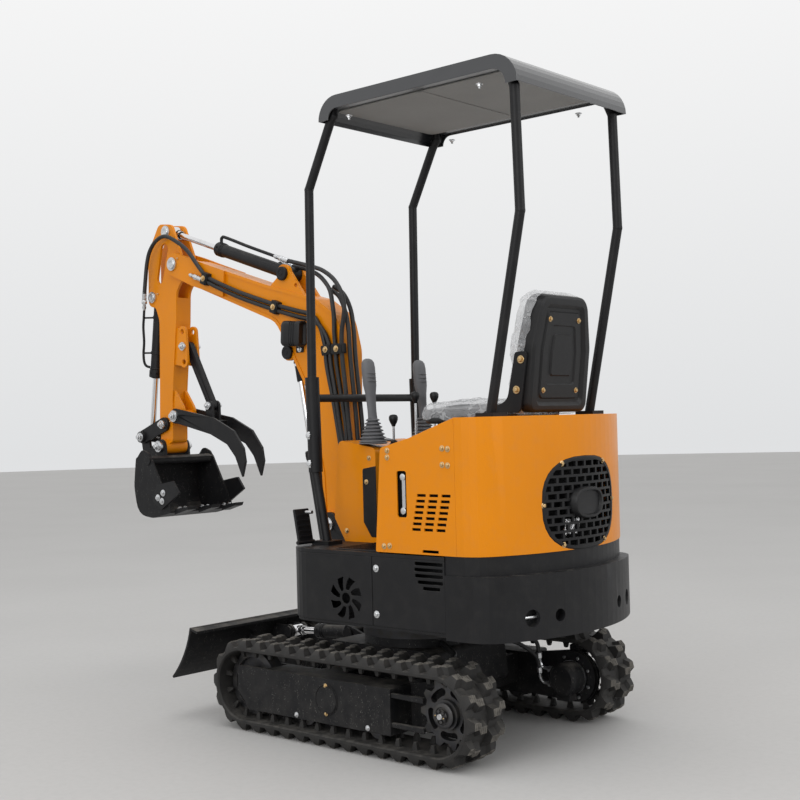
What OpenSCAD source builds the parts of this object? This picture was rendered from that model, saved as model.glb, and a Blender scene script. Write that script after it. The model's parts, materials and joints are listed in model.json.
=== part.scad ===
// Mini excavator on rubber tracks: open canopy, dozer blade, and a digging arm with a fixed thumb.
// Millimetres. The origin is on the slew axis at the ground, +X forward, +Y left, +Z up.

/* [Tracks] */
// Distance between the centre lines of the two tracks
track_gauge = 764; // [740:1:790]
// Width of a rubber track
track_w = 180; // [170:1:190]
// Distance from the sprocket's axle to the idler's axle
wheel_base = 880; // [840:5:920]
// Height of a track over its lugs
track_h = 320; // [310:1:330]
// Height of a lug above the belt
lug_h = 25; // [20:1:28]
// Thickness of the belt between its lugs
belt_t = 22; // [18:1:24]
// Number of lugs in each of a track's two rows
lug_count = 36; // [30:1:40]
// Width of the groove between the two rows of lugs
groove_w = 27; // [20:1:34]
// Number of teeth on a sprocket
sprocket_teeth = 11; // [9:1:13]

/* [Track frames] */
// Width of a track frame over its side plates
frame_w = 116; // [110:1:124]
// Thickness of a track frame's plates
frame_plate = 12; // [8:1:14]
// Height of a track frame's top face
frame_top = 223; // [215:1:230]
// Height of a track frame's lower edge
frame_bottom = 72; // [68:1:80]
// Radius of a bottom roller
roller_r = 40; // [34:1:44]
// Radius of a travel motor's body
motor_r = 58; // [50:1:60]

/* [Blade] */
// Width of the blade
blade_w = 944; // [900:2:980]
// Thickness of the blade's sheet
blade_t = 8; // [6:1:12]
// Height of the blade's top edge
blade_top = 339; // [330:1:345]
// Height of the blade's cutting edge
blade_low = 150; // [140:1:160]

/* [Upper body] */
// Width of the upper body
body_w = 840; // [820:2:860]
// Distance from the slew axis to the front of the upper body
body_front = 265; // [260:1:275]
// Radius of the upper body's front corners
front_corner = 115; // [90:1:120]
// Radius of the engine hood's tail about the slew axis
tail_r = 713; // [705:1:725]
// Radius of the counterweight's tail about the slew axis
weight_r = 740; // [732:1:750]
// Radius of the corners between sides and tail
tail_corner = 115; // [90:1:130]
// Height of the skirt's lower edge
skirt_low = 415; // [410:1:420]
// Height of the operator's floor
deck_top = 652; // [645:1:660]
// Height of the engine hood's top
hood_top = 1085; // [1075:1:1100]
// Thickness of the hood's and skirt's sheet
sheet_t = 5; // [3:0.5:6]
// Half width of the rear grille's oval
grille_half_w = 205; // [180:1:210]
// Half height of the rear grille's oval
grille_half_h = 150; // [130:1:155]

/* [Canopy] */
// Height of the canopy's roof
roof_top = 2208; // [2150:1:2260]
// Width of the canopy's roof
roof_w = 634; // [620:1:660]
// Distance between the left and right posts
post_gauge = 566; // [550:1:580]
// Diameter of a post's tube
post_d = 32; // [26:1:36]
// Diameter of the front posts' sleeves
sleeve_d = 50; // [44:1:54]

/* [Seat] */
// Width of the seat cushion
seat_w = 340; // [320:1:350]
// Thickness of the seat's backrest
backrest_t = 75; // [60:1:85]

/* [Boom] */
// Width of the boom's box section
boom_w = 92; // [88:1:96]
// Thickness of the fork plates that hold the arm
fork_t = 13; // [10:1:14]
// Radius of the boom's and arm's main pins
main_pin_r = 17.5; // [15:0.5:20]
// Radius of the cylinders' and linkage's pins
link_pin_r = 14; // [12:0.5:15]

/* [Arm] */
// Width of the arm's box section
arm_w = 80; // [76:1:82]
// Thickness of the arm's head plates
head_t = 12; // [8:1:13]
// Thickness of the linkage's, thumb's and bucket's ear plates
ear_t = 12; // [10:1:14]

/* [Cylinders] */
// Radius of a hydraulic cylinder's barrel
barrel_r = 26; // [24:0.5:28]
// Radius of a hydraulic cylinder's rod
rod_r = 12.5; // [11:0.5:14]

/* [Bucket] */
// Width of the bucket's shell
bucket_w = 340; // [320:2:360]
// Thickness of the bucket's plates
bucket_t = 8; // [6:1:10]
// Number of teeth on the bucket's lip
tooth_count = 3; // [2:1:4]
// Width of a bucket tooth
tooth_w = 46; // [40:1:54]

/* [Hidden] */
$fn = 48;

yellow = "#f4a018";
black = "#1c1d1f";
rubber = "#2a2a2b";
steel = "#b9bcbf";

// Clearances: a bore over its pin, a face beside its seat, and the gap at an open linkage eye
pin_gap = 0.1;
seat_gap = 0.3;
eye_gap = 2;

// Track levels and places that follow from the driving sizes
track_y = track_gauge / 2;
track_r = track_h / 2;
belt_r = track_r - lug_h;
belt_in = belt_r - belt_t;
sprocket_at = [-wheel_base / 2, track_r];
idler_at = [wheel_base / 2, track_r];
floor_in = lug_h + belt_t;
frame_half = frame_w / 2;
slot_half = frame_half - frame_plate;
frame_rear = -238;
frame_front = 490;
roller_x = [166, -160];

// Pins of the blade, boom, arm and bucket at rest, as [x, z]
blade_pivot = [370, 175];
blade_cyl_base = [322, 292];
blade_cyl_eye = [640, 272];
boom_pivot = [375, 700];
boom_cyl_base = [432, 480];
boom_cyl_eye = [598, 1354];
arm_cyl_base = [618, 1662];
arm_cyl_eye = [1335, 1908];
arm_pivot = [1275, 1763];
bucket_cyl_base = [1435, 1636];
rocker_pivot = [1366, 1088];
linkage_pin = [1512, 1036];
bucket_pivot = [1373, 995];
link_low_pin = [1490, 925];
thumb_pivot = [1284, 1122];
strut_top = [1247, 1415];
strut_low = [1105, 1161];

// Half widths of the stack of plates along the digging arm
boom_half = boom_w / 2;
fork_out = boom_half + fork_t;
arm_half = arm_w / 2;
head_gap = arm_half - head_t;
ear_in = boom_half - 16;
rocker_in = arm_half + 2;
rocker_out = rocker_in + ear_t;
link_out = rocker_in - 0.5;
link_in = link_out - ear_t;
bucket_ear_in = rocker_out + 2;
bucket_ear_out = bucket_ear_in + ear_t;
thumb_in = arm_half + 4;
thumb_out = thumb_in + ear_t;

// Upper body levels
body_half = body_w / 2;
hood_l = 203;
seam_x = hood_l - tail_r;
weight_front = seam_x + 50;
weight_top = 596;
neck_top = deck_top + 4;
hood_low = neck_top + seat_gap;
slew_low = 330;
slew_top = 384;
floor_plate = 12;
core_inset = 60;

// Helpers for outlines

function unit(v) = v / norm(v);

// A point at radius r and angle a
function polar(r, a) = r * [cos(a), sin(a)];

function arc(c, r, a0, a1, n = 8) = [for (i = [0:n]) c + polar(r, a0 + (a1 - a0) * i / n)];

// Signed angle from a0 to a1, in the range -180 to 180
function turn(a0, a1) = let (d = (a1 - a0) % 360) d > 180 ? d - 360 : d < -180 ? d + 360 : d;

// Points that round the corner at p between a and b to radius r
function corner(a, p, b, r) =
    r == 0 ? [p] :
    let (
        u = unit(a - p),
        v = unit(b - p),
        half = acos(max(-1, min(1, u * v))) / 2,
        c = p + unit(u + v) * r / sin(half),
        s = p + u * r / tan(half),
        e = p + v * r / tan(half),
        a0 = atan2(s[1] - c[1], s[0] - c[0]),
        d = turn(a0, atan2(e[1] - c[1], e[0] - c[0])),
        n = max(2, ceil(abs(d) / 18))
    ) arc(c, r, a0, a0 + d, n);

function flat2(p) = [p[0], p[1]];

// An outline of [x, y, corner radius] points, with its corners rounded
function rounded(p) = let (n = len(p)) [
    for (i = [0:n - 1]) each corner(flat2(p[(i + n - 1) % n]), flat2(p[i]), flat2(p[(i + 1) % n]), p[i][2])
];

// The same points moved inwards by d; the points run anticlockwise
function inset(p, d) = let (n = len(p)) [
    for (i = [0:n - 1]) let (
        q = flat2(p[i]),
        u = unit(q - flat2(p[(i + n - 1) % n])),
        v = unit(flat2(p[(i + 1) % n]) - q),
        m = [-u[1] - v[1], u[0] + v[0]],
        s = q + m * d / (1 + u * v)
    ) [s[0], s[1], p[i][2]]
];

// The outline of a bar with round ends: radius ra at a, radius rb at b
function bar(a, ra, b, rb) =
    let (d = b - a, t = atan2(d[1], d[0]), q = acos((ra - rb) / norm(d)))
    concat(arc(a, ra, t + q, t + 360 - q, 12), arc(b, rb, t - q, t + q, 12));

// Helpers for solids

// An outline in the x-z plane, as thick as from y0 to y1
module slab(y0, y1) translate([0, y1, 0]) rotate([90, 0, 0]) linear_extrude(y1 - y0) children();

// The same outline on both sides of the middle plane
module twin_slab(y0, y1) {
    slab(y0, y1) children();
    slab(-y1, -y0) children();
}

// A round pin across the machine at p, from y0 to y1
module cross_pin(p, r, y0, y1) translate([p[0], y0, p[1]]) rotate([-90, 0, 0]) cylinder(r = r, h = y1 - y0);

module both_sides() {
    children();
    mirror([0, 1, 0]) children();
}

// A round bar from a to b in space
module rod(a, b, d) {
    v = b - a;
    translate(a) rotate([0, acos(v[2] / norm(v)), atan2(v[1], v[0])]) cylinder(d = d, h = norm(v));
}

// A tube in the x-z plane at y, through the points p, with a slightly fuller knuckle at each bend
knuckle = 1.2;
module bent_tube(p, d, y) {
    q = [for (k = p) [k[0], y, k[1]]];
    for (i = [0:len(q) - 2]) rod(q[i], q[i + 1], d);
    for (i = [1:len(q) - 2]) translate(q[i]) sphere(d = d + knuckle);
}

// A pin with a round head at each end, across plates whose outer faces are at y = +-half
module headed_pin(p, r, half, head_r, head_t) {
    cross_pin(p, r, -half, half);
    both_sides() cross_pin(p, head_r, half, half + head_t);
}

// Pin ends in two ears, with the space between the ears left free
module pin_ends(p, r, ear_inner, half, head_r, head_t) {
    both_sides() {
        cross_pin(p, r, ear_inner, half);
        cross_pin(p, head_r, half, half + head_t);
    }
}

// A hydraulic cylinder's barrel: base eye with a bore, tube, and gland nut at the rod's end
gland_l = 34;
gland_lip = 2.5;
base_wall = 14;
neck_lip = 6;
module barrel(base, eye, length, r, eye_r, eye_half, bore_r) {
    d = eye - base;
    turn_y = 90 - atan2(d[1], d[0]);
    translate([base[0], 0, base[1]]) rotate([0, turn_y, 0]) difference() {
        union() {
            cross_pin([0, 0], eye_r, -eye_half, eye_half);
            cylinder(r = r, h = length);
            translate([0, 0, length - gland_l]) cylinder(r = r + gland_lip, h = gland_l);
        }
        cross_pin([0, 0], bore_r, -eye_half - 1, eye_half + 1);
        translate([0, 0, eye_r + base_wall]) cylinder(r = rod_r + pin_gap, h = length);
    }
}

// A hydraulic cylinder's rod: shaft inside the barrel, and an eye that carries the middle of its pin
module piston_rod(base, eye, from, eye_r, eye_half) {
    d = eye - base;
    turn_y = 90 - atan2(d[1], d[0]);
    translate([base[0], 0, base[1]]) rotate([0, turn_y, 0]) {
        translate([0, 0, from]) cylinder(r = rod_r, h = norm(d) - from);
        translate([0, 0, norm(d)]) cross_pin([0, 0], eye_r, -eye_half, eye_half);
        translate([0, 0, norm(d) - eye_r - 26]) cylinder(r = rod_r + neck_lip, h = eye_r + 10);
    }
}

// Tracks

// A point of the track's loop: s runs from 0 to 1 round the belt, r is the radius at the wheels
function loop_length() = 2 * wheel_base + 2 * PI * belt_r;
function loop_point(s, r) =
    let (
        l = (s - floor(s)) * loop_length(),
        bend = PI * belt_r,
        half = wheel_base / 2
    )
    l < wheel_base ? [-half + l, track_r - r] :
    l < wheel_base + bend ? idler_at + polar(r, (l - wheel_base) / bend * 180 - 90) :
    l < 2 * wheel_base + bend ? [half - (l - wheel_base - bend), track_r + r] :
    sprocket_at + polar(r, (l - 2 * wheel_base - bend) / bend * 180 + 90);

function plain_loop(r) = concat(arc(idler_at, r, -90, 90, 32), arc(sprocket_at, r, 90, 270, 32));

// Outline of one row of lugs: each lug is wide at its foot and narrow at its tip
lug_foot = 0.56;
lug_tip = 0.36;
lug_corners = [[-lug_foot, belt_r], [-lug_tip, track_r], [lug_tip, track_r], [lug_foot, belt_r]];
function lug_loop(phase) = [
    for (i = [0:lug_count - 1], k = lug_corners) loop_point((i + phase + k[0] / 2) / lug_count, k[1])
];

module belt_slab(outer, y0, y1) slab(y0, y1) difference() {
    polygon(outer);
    polygon(plain_loop(belt_in));
}

module track() color(rubber) {
    belt_slab(lug_loop(0.25), groove_w / 2, track_w / 2);
    belt_slab(lug_loop(0.75), -track_w / 2, -groove_w / 2);
    belt_slab(plain_loop(belt_r), -track_w / 2 + 2, track_w / 2 - 2);
}

module track_left() translate([0, track_y, 0]) track();
module track_right() translate([0, -track_y, 0]) track();

// Track frames: a channel open below, and a plate at its inner side that carries the travel motor
frame_outline = rounded([
    [frame_rear, frame_bottom, 0], [frame_front - 60, frame_bottom, 12], [frame_front, frame_bottom + 62, 12],
    [frame_front, frame_top, 14], [frame_rear, frame_top, 8]
]);
bracket_r = 92;
cover_at = [46, 153];
cover_r = 46;
cover_t = 4;

module track_frame() color(black) difference() {
    union() {
        slab(-frame_half, frame_half) polygon(frame_outline);
        cross_pin(cover_at, cover_r, slot_half, frame_half + cover_t);
        slab(-frame_half, -slot_half) polygon(bar(sprocket_at, bracket_r, [frame_rear + 40, 148], 70));
    }
    translate([frame_rear + frame_plate, -slot_half, frame_bottom - 40])
        cube([frame_front - frame_rear, 2 * slot_half, frame_top - frame_plate - frame_bottom + 40]);
    slab(-slot_half, slot_half) polygon(arc(idler_at, belt_in + 3, 0, 360, 40));
    cross_pin(sprocket_at, motor_neck_r + seat_gap, -frame_half - 1, -slot_half + 1);
}

module track_frame_left() translate([0, track_y, 0]) track_frame();
module track_frame_right() mirror([0, 1, 0]) track_frame_left();

// Sprocket: toothed rim, five round-ended openings, and a bolted hub cover outside
tooth_tip_r = belt_in - 0.5;
tooth_root_r = tooth_tip_r - 20;
sprocket_t = 24;
spoke_count = 5;
hub_r = 48;
hub_t = 16;
hub_cap = 10;

tooth_foot = 0.34;
tooth_top = 0.13;
tooth_corners = [
    [-tooth_foot, tooth_root_r], [-tooth_top, tooth_tip_r],
    [tooth_top, tooth_tip_r], [tooth_foot, tooth_root_r]
];
function sprocket_outline() = [
    for (i = [0:sprocket_teeth - 1], k = tooth_corners) polar(k[1], (i + k[0]) * 360 / sprocket_teeth)
];

// Round-ended opening between two spokes
function spoke_opening() =
    let (
        r = (tooth_root_r + hub_r) / 2,
        w = tooth_root_r - hub_r - 20,
        sweep = 360 / spoke_count * 0.5
    ) concat(
        arc([0, 0], r + w / 2, 0, sweep, 6), arc(polar(r, sweep), w / 2, sweep, sweep + 180, 8),
        arc([0, 0], r - w / 2, sweep, 0, 6), arc([r, 0], w / 2, 180, 360, 8)
    );

module sprocket() {
    linear_extrude(sprocket_t) difference() {
        polygon(sprocket_outline());
        for (i = [0:spoke_count - 1]) rotate(i * 360 / spoke_count) polygon(spoke_opening());
    }
    translate([0, 0, sprocket_t]) cylinder(r = hub_r, h = hub_t);
    translate([0, 0, sprocket_t + hub_t]) cylinder(r = hub_r - 16, h = hub_cap);
}

module sprockets() color(black) both_sides()
    translate([sprocket_at[0], track_y - sprocket_t / 2, sprocket_at[1]]) rotate([-90, 0, 0]) sprocket();

// Travel motor: drum behind the sprocket, neck through the frame's plate, flange and body inside
motor_neck_r = motor_r - 3;
flange_r = motor_r + 30;
flange_t = 14;
motor_l = 98;
module travel_motor() {
    drum_l = slot_half - sprocket_t / 2;
    seat = drum_l + frame_plate;
    rotate_extrude() polygon([
        [0, 0], [motor_r + 8, 0], [motor_r + 8, drum_l], [motor_neck_r, drum_l], [motor_neck_r, seat],
        [flange_r, seat], [flange_r, seat + flange_t], [motor_r, seat + flange_t],
        [motor_r, seat + motor_l - 12], [motor_r - 12, seat + motor_l], [0, seat + motor_l]
    ]);
    translate([-26, -motor_r - 16, seat + 40]) cube([52, 40, 44]);
}

module travel_motors() color(black) both_sides()
    translate([sprocket_at[0], track_y - sprocket_t / 2, sprocket_at[1]]) rotate([90, 0, 0]) travel_motor();

// Idler and bottom rollers, each with a hub as wide as the gap between the frame's plates
axle_r = 30;
web_half = 9;
rim_half = 26;
module idler() {
    rim_out = belt_in - seat_gap;
    rim_in = belt_in - 22;
    rotate_extrude() polygon([
        [0, -slot_half], [axle_r, -slot_half], [axle_r, -web_half], [rim_in, -web_half], [rim_in, -rim_half],
        [rim_out, -rim_half], [rim_out, rim_half], [rim_in, rim_half], [rim_in, web_half], [axle_r, web_half],
        [axle_r, slot_half], [0, slot_half]
    ]);
}

shaft_r = 18;
roller_half = 34;
waist_r = roller_r - 10;
module bottom_roller() rotate_extrude() polygon([
    [0, -slot_half], [shaft_r, -slot_half], [shaft_r, -roller_half], [roller_r, -roller_half],
    [roller_r, -16], [waist_r, -12], [waist_r, 12], [roller_r, 16], [roller_r, roller_half],
    [shaft_r, roller_half], [shaft_r, slot_half], [0, slot_half]
]);

module track_rollers() color(black) both_sides() translate([0, track_y, 0]) {
    translate([idler_at[0], 0, idler_at[1]]) rotate([90, 0, 0]) idler();
    for (x = roller_x) translate([x, 0, floor_in + seat_gap + roller_r]) rotate([90, 0, 0]) bottom_roller();
}

// Middle frame between the tracks, with the slew bearing's seat and the blade's ears
beam_half = 55;
blade_ear_in = 118;
base_ear_in = 25;
base_ear_out = 37;
eye_ear_in = 28;
eye_ear_out = 40;
blade_arm_in = 140;
blade_arm_out = 165;
module chassis_frame() color(black) difference() {
    inner = track_y - frame_half;
    union() {
        for (x = [-135, 150]) translate([x - beam_half, -inner, 112]) cube([2 * beam_half, 2 * inner, 104]);
        slab(-205, 205) polygon(rounded([
            [-235, 150, 20], [270, 150, 20], [300, 215, 10], [255, 300, 20], [-215, 300, 20]
        ]));
        translate([0, 0, 300]) cylinder(r = 200, h = slew_low - 300);
        twin_slab(blade_ear_in, blade_arm_in - seat_gap) polygon(bar(blade_pivot, 34, [270, 200], 48));
        twin_slab(base_ear_in, base_ear_out) polygon(bar(blade_cyl_base, 28, [262, 260], 38));
        headed_pin(blade_cyl_base, link_pin_r, base_ear_out, 22, 8);
    }
    cross_pin(blade_pivot, link_pin_r + pin_gap, -205, 205);
}

module slew_bearing() color(steel) translate([0, 0, slew_low]) difference() {
    cylinder(r = 205, h = slew_top - slew_low, $fn = 96);
    translate([0, 0, -1]) cylinder(r = 140, h = slew_top - slew_low + 2, $fn = 96);
}

// Blade: curved sheet with a turned-back top edge, two arms, and ears for its cylinder
blade_tip_x = 818;
blade_top_x = 712;
blade_sag = 16;
function blade_face(shift) =
    let (
        a = [blade_tip_x, blade_low],
        b = [blade_top_x, blade_top],
        chord = norm(b - a),
        r = (chord * chord / 4 + blade_sag * blade_sag) / (2 * blade_sag),
        u = unit(b - a),
        c = (a + b) / 2 + [-u[1], u[0]] * -(r - blade_sag),
        a0 = atan2(a[1] - c[1], a[0] - c[0]),
        d = turn(a0, atan2(b[1] - c[1], b[0] - c[0]))
    ) arc(c, r + shift, a0, a0 + d, 10);

module blade() color(black) {
    face = blade_face(0);
    back = blade_face(blade_t);
    slab(-blade_w / 2, blade_w / 2) polygon(concat(face, reversed(back)));
    slab(-blade_w / 2, blade_w / 2) polygon([
        back[10] + [4, 0], back[10] + [0, -9], back[10] + [-34, -18], back[10] + [-34, -9]
    ]);
    twin_slab(blade_arm_in, blade_arm_out) polygon(concat(
        arc(blade_pivot, 34, 100, 280, 12), [[560, 172], back[3], back[7], [600, 240]]
    ));
    twin_slab(eye_ear_in, eye_ear_out)
        polygon(concat(arc(blade_cyl_eye, 26, 60, 260, 10), [back[3], back[8]]));
    both_sides() {
        cross_pin(blade_pivot, link_pin_r, blade_ear_in, blade_arm_in + 1);
        cross_pin(blade_pivot, 22, blade_arm_out - 1, blade_arm_out + 8);
        cross_pin(blade_cyl_eye, 20, eye_ear_out - 1, eye_ear_out + 8);
    }
}

module blade_barrel() color(black) barrel(
    blade_cyl_base, blade_cyl_eye, 196, barrel_r - 2, 24, base_ear_in - seat_gap, link_pin_r + pin_gap);
module blade_rod() color(steel) piston_rod(blade_cyl_base, blade_cyl_eye, 90, 22, eye_ear_in - eye_gap);

// Upper body plan: straight sides, round front corners and a tail that is an arc about the slew axis
function plan(inset, tail) =
    let (
        cy = body_half - tail_corner,
        cx = -sqrt(pow(tail - tail_corner, 2) - cy * cy),
        a = atan2(cy, cx),
        f = [body_front - front_corner, body_half - front_corner],
        fr = front_corner - inset,
        rr = tail_corner - inset
    ) concat(
        arc(f, fr, 0, 90, 8), arc([cx, cy], rr, 90, a, 5), arc([0, 0], tail - inset, a, 360 - a, 20),
        arc([cx, -cy], rr, 360 - a, 270, 5), arc([f[0], -f[1]], fr, 270, 360, 8)
    );

module plan_block(inset, tail, z0, z1) translate([0, 0, z0])
    linear_extrude(z1 - z0) polygon(plan(inset, tail));
module behind(x) translate([-1000 + x, -1000, 0]) cube([1000, 2000, 2500]);
module ahead(x) translate([x, -1000, 0]) cube([1000, 2000, 2500]);

// Floor, bottom plate and closed core of the upper body, down to the slew bearing
bracket_half = 118;
module deck() color(black) {
    intersection() {
        union() {
            plan_block(sheet_t + seat_gap, tail_r, slew_top + 21, skirt_low + 15);
            plan_block(core_inset, tail_r, skirt_low + 15, deck_top - floor_plate);
            plan_block(0, tail_r, deck_top - floor_plate, deck_top);
        }
        ahead(weight_front + seat_gap);
    }
    translate([0, 0, slew_top + 0.5]) cylinder(r = 190, h = 22);
}

// Black skirt round the front and sides, with a fan-shaped opening and cooling slots on each side
fan_at = [-35, 495];
fan_blades = 8;
fan_hub_r = 18;
// One blade's opening, as [radius, angle of its leading edge, angle of its trailing edge]
fan_blade = [[29, 0, 24], [44, 3, 29], [59, 8, 33], [72, 14, 37]];
module fan_opening() translate(fan_at) {
    circle(r = fan_hub_r);
    for (i = [0:fan_blades - 1]) rotate(i * 360 / fan_blades) polygon(concat(
        [for (k = fan_blade) polar(k[0], k[1])], [for (k = reversed(fan_blade)) polar(k[0], k[2])]
    ));
}

// Cooling slots as [rear end, front end] from the hood's seam, and height
skirt_slots = [[58, 171, 622], [58, 173, 603], [58, 171, 584], [58, 160, 564], [70, 139, 545]];
slot_h = 10;
// Seam between the skirt's front and rear panels
skirt_seam = -156;
groove_d = 2.5;
module skirt() color(black) difference() {
    plan_block(0, tail_r, skirt_low, deck_top - floor_plate - seat_gap);
    plan_block(sheet_t, tail_r, skirt_low - 1, deck_top);
    behind(weight_front + seat_gap);
    translate([0, -bracket_half - seat_gap, skirt_low - 1])
        cube([1000, 2 * (bracket_half + seat_gap), deck_top]);
    both_sides() {
        slab(body_half - 20, body_half + 20) {
            fan_opening();
            for (k = skirt_slots) translate([seam_x + k[0], k[2]]) square([k[1] - k[0], slot_h]);
        }
        slab(body_half - groove_d, body_half + 1)
            translate([skirt_seam, skirt_low]) square([groove_d, deck_top]);
    }
}

// Counterweight: heavy lower bulge, and a neck under the hood
module counterweight() color(black) difference() {
    intersection() {
        union() {
            plan_block(0, weight_r, skirt_low - 20, weight_top);
            plan_block(4, tail_r, weight_top - 1, neck_top);
        }
        behind(weight_front);
    }
    for (a = [-1, 1]) {
        tail_recess(21.8 * a, 27);
        tail_recess(13.5 * a, 20);
    }
}

// A round recess of radius r in the counterweight's tail, at an angle about the slew axis
recess_z = 463;
recess_depth = 30;
module tail_recess(angle, r) rotate([0, 0, 180 + angle]) translate([weight_r - recess_depth, 0, recess_z])
    rotate([0, 90, 0]) cylinder(r = r, h = 2 * recess_depth);

// Oval of the rear grille, in the plane that faces the tail
grille_z = 803;
function oval(grow) = [for (i = [0:31]) let (a = i * 360 / 32) [
    (grille_half_w + grow) * sign(cos(a)) * pow(abs(cos(a)), 0.75),
    (grille_half_h + grow) * sign(sin(a)) * pow(abs(sin(a)), 0.75)
]];
module oval_prism(grow) translate([-1000, 0, grille_z]) rotate([90, 0, 90])
    linear_extrude(500) polygon(oval(grow));

module engine_hood() color(yellow) difference() {
    intersection() {
        difference() {
            plan_block(0, tail_r, hood_low, hood_top);
            plan_block(sheet_t, tail_r, hood_low - 1, hood_top - sheet_t);
        }
        behind(seam_x);
    }
    oval_prism(0);
}

// Grille: a rim, and rows of staggered openings that follow the tail's curve
grille_rim = 12;
grille_t = 8;
grille_cell = [36, 17];
grille_pitch = [46, 25];
module grille_openings() {
    rows = floor(grille_half_h / grille_pitch[1]);
    columns = ceil(grille_half_w / grille_pitch[0]);
    for (j = [-rows:rows], i = [-columns:columns]) {
        stagger = j % 2 == 0 ? 0 : 0.5;
        translate([-tail_r, (i + stagger) * grille_pitch[0], grille_z + j * grille_pitch[1]])
            cube([tail_r, grille_cell[0], grille_cell[1]], center = true);
    }
}

module rear_grille() color(black) intersection() {
    difference() {
        translate([0, 0, hood_low]) cylinder(r = tail_r - 1, h = hood_top - hood_low, $fn = 128);
        translate([0, 0, hood_low - 1]) cylinder(r = tail_r - 1 - grille_t, h = hood_top, $fn = 128);
        intersection() {
            grille_openings();
            oval_prism(-grille_rim);
        }
    }
    oval_prism(-seat_gap);
    behind(seam_x);
}

// Side panels with a sight slot, vents and a lower slot
panel_front = seam_x + 335;
panel_top_x = panel_front - 28;
panel_top_front = 993;
panel_top_rear = 1063;
sight_w = 40;
sight_h = 148;
sight_at = [seam_x + 198, 771];
vent = [36, 9];
vent_pitch = [50, 18];
vent_at = [seam_x + 42, 730];
vent_shift = 4;
panel_outline = rounded([
    [seam_x + seat_gap, hood_low, 0], [panel_front, hood_low, 6], [panel_top_x, panel_top_front, 14],
    [seam_x + 189, 1022, 0], [seam_x + seat_gap, panel_top_rear, 0]
]);
module side_panel() color(yellow) difference() {
    slab(body_half - sheet_t, body_half) polygon(panel_outline);
    slab(body_half - 40, body_half + 10) {
        translate(sight_at)
            polygon(rounded([[0, 0, 8], [sight_w, 0, 8], [sight_w, sight_h, 8], [0, sight_h, 8]]));
        for (c = [0:2], r = [0:6])
            translate(vent_at + [c * vent_pitch[0] - r * vent_shift, r * vent_pitch[1]]) square(vent);
        translate([seam_x + 71, hood_low + 6]) square([66, 9]);
    }
}
module side_panel_left() side_panel();
module side_panel_right() mirror([0, 1, 0]) side_panel();

// Engine: one plain block on the deck and the counterweight's neck
engine_size = [330, 380, 290];
module engine_block() color("#55585a")
    translate([seam_x - 130, -engine_size[1] / 2, neck_top + seat_gap]) cube(engine_size);

// Front bracket: a block behind the skirt's front, with ears for the boom and for its cylinder
foot_half = fork_out;
foot_ear_t = 16;
cyl_ear_t = 14;
module boom_bracket() color(black) difference() {
    block_front = body_front + 22;
    union() {
        translate([body_front - core_inset, -bracket_half, skirt_low + 15])
            cube([core_inset + 22, 2 * bracket_half, deck_top - floor_plate - skirt_low - 15]);
        twin_slab(foot_half + seat_gap, foot_half + seat_gap + foot_ear_t) polygon(concat(
            [[block_front - 10, 470], [block_front + 40, 470]], arc(boom_pivot, 44, -40, 150, 12),
            [[block_front - 10, 650]]
        ));
        twin_slab(ear_in, ear_in + cyl_ear_t) polygon(concat(
            [[block_front - 10, 440]], arc(boom_cyl_base, 34, -90, 90, 10), [[block_front - 10, 600]]
        ));
    }
    cross_pin(boom_pivot, main_pin_r + pin_gap, -200, 200);
    cross_pin(boom_cyl_base, link_pin_r + pin_gap, -200, 200);
}

module bracket_pins() color(steel) {
    headed_pin(boom_pivot, main_pin_r, foot_half + seat_gap + foot_ear_t, 26, 8);
    headed_pin(boom_cyl_base, link_pin_r, ear_in + cyl_ear_t, 22, 8);
}

// Control console, its joysticks and small levers
console_half = 170;
module control_console() color(yellow) slab(-console_half, console_half) polygon(rounded([
    [45, deck_top, 0], [200, deck_top, 0], [250, 735, 16], [222, 1015, 20], [45, 985, 20]
]));

function console_top(x) = 985 + (x - 45) * (1015 - 985) / (222 - 45);
joystick_at = [80, 140];
module joystick() {
    rotate_extrude() polygon([
        [0, 0], [40, 0], [40, 12], [34, 14], [38, 24], [30, 32], [33, 42], [25, 50], [28, 60], [20, 68],
        [22, 78], [13, 88], [11, 130], [13, 180], [18, 200], [21, 250], [22, 285], [17, 300], [0, 304]
    ]);
}
module joysticks() color("#77797c") both_sides()
    translate([joystick_at[0], joystick_at[1], console_top(joystick_at[0] + 45)]) joystick();

lever_at = [[95, 45], [95, -45], [70, 78]];
module control_levers() color(black) for (p = lever_at) {
    z = console_top(p[0] + 16);
    translate([p[0], p[1], z]) cylinder(r = 15, h = 14);
    translate([p[0], p[1], z + 10]) cylinder(r = 5, h = 110);
    translate([p[0], p[1], z + 130]) sphere(r = 17);
}

// Seat base over the engine, cushion, backrest and the two brackets that hold it
base_half = body_half - sheet_t - seat_gap;
base_t = 6;
cushion_low = 1065;
cushion_rear = seam_x + 30;
cushion_front = seam_x + 360;
function base_top(x) = panel_top_front - 12
    + (x - panel_top_x) * (panel_top_rear - panel_top_front) / (seam_x - panel_top_x);
module seat_base() color(black) {
    slab(-base_half, base_half) polygon([
        [panel_front - 10, deck_top], [panel_front - 5, deck_top], [panel_top_x, base_top(panel_top_x)],
        [seam_x + 1, base_top(seam_x)], [seam_x + 1, base_top(seam_x) - base_t],
        [panel_top_x - 5, base_top(panel_top_x) - base_t]
    ]);
    slab(-120, 120) polygon([
        [panel_top_x + 13, base_top(panel_top_x) - 2], [panel_top_x + 3, cushion_low],
        [cushion_rear, cushion_low], [cushion_rear, base_top(cushion_rear) - 2],
        [panel_top_x, base_top(panel_top_x) - 2]
    ]);
}

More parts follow.
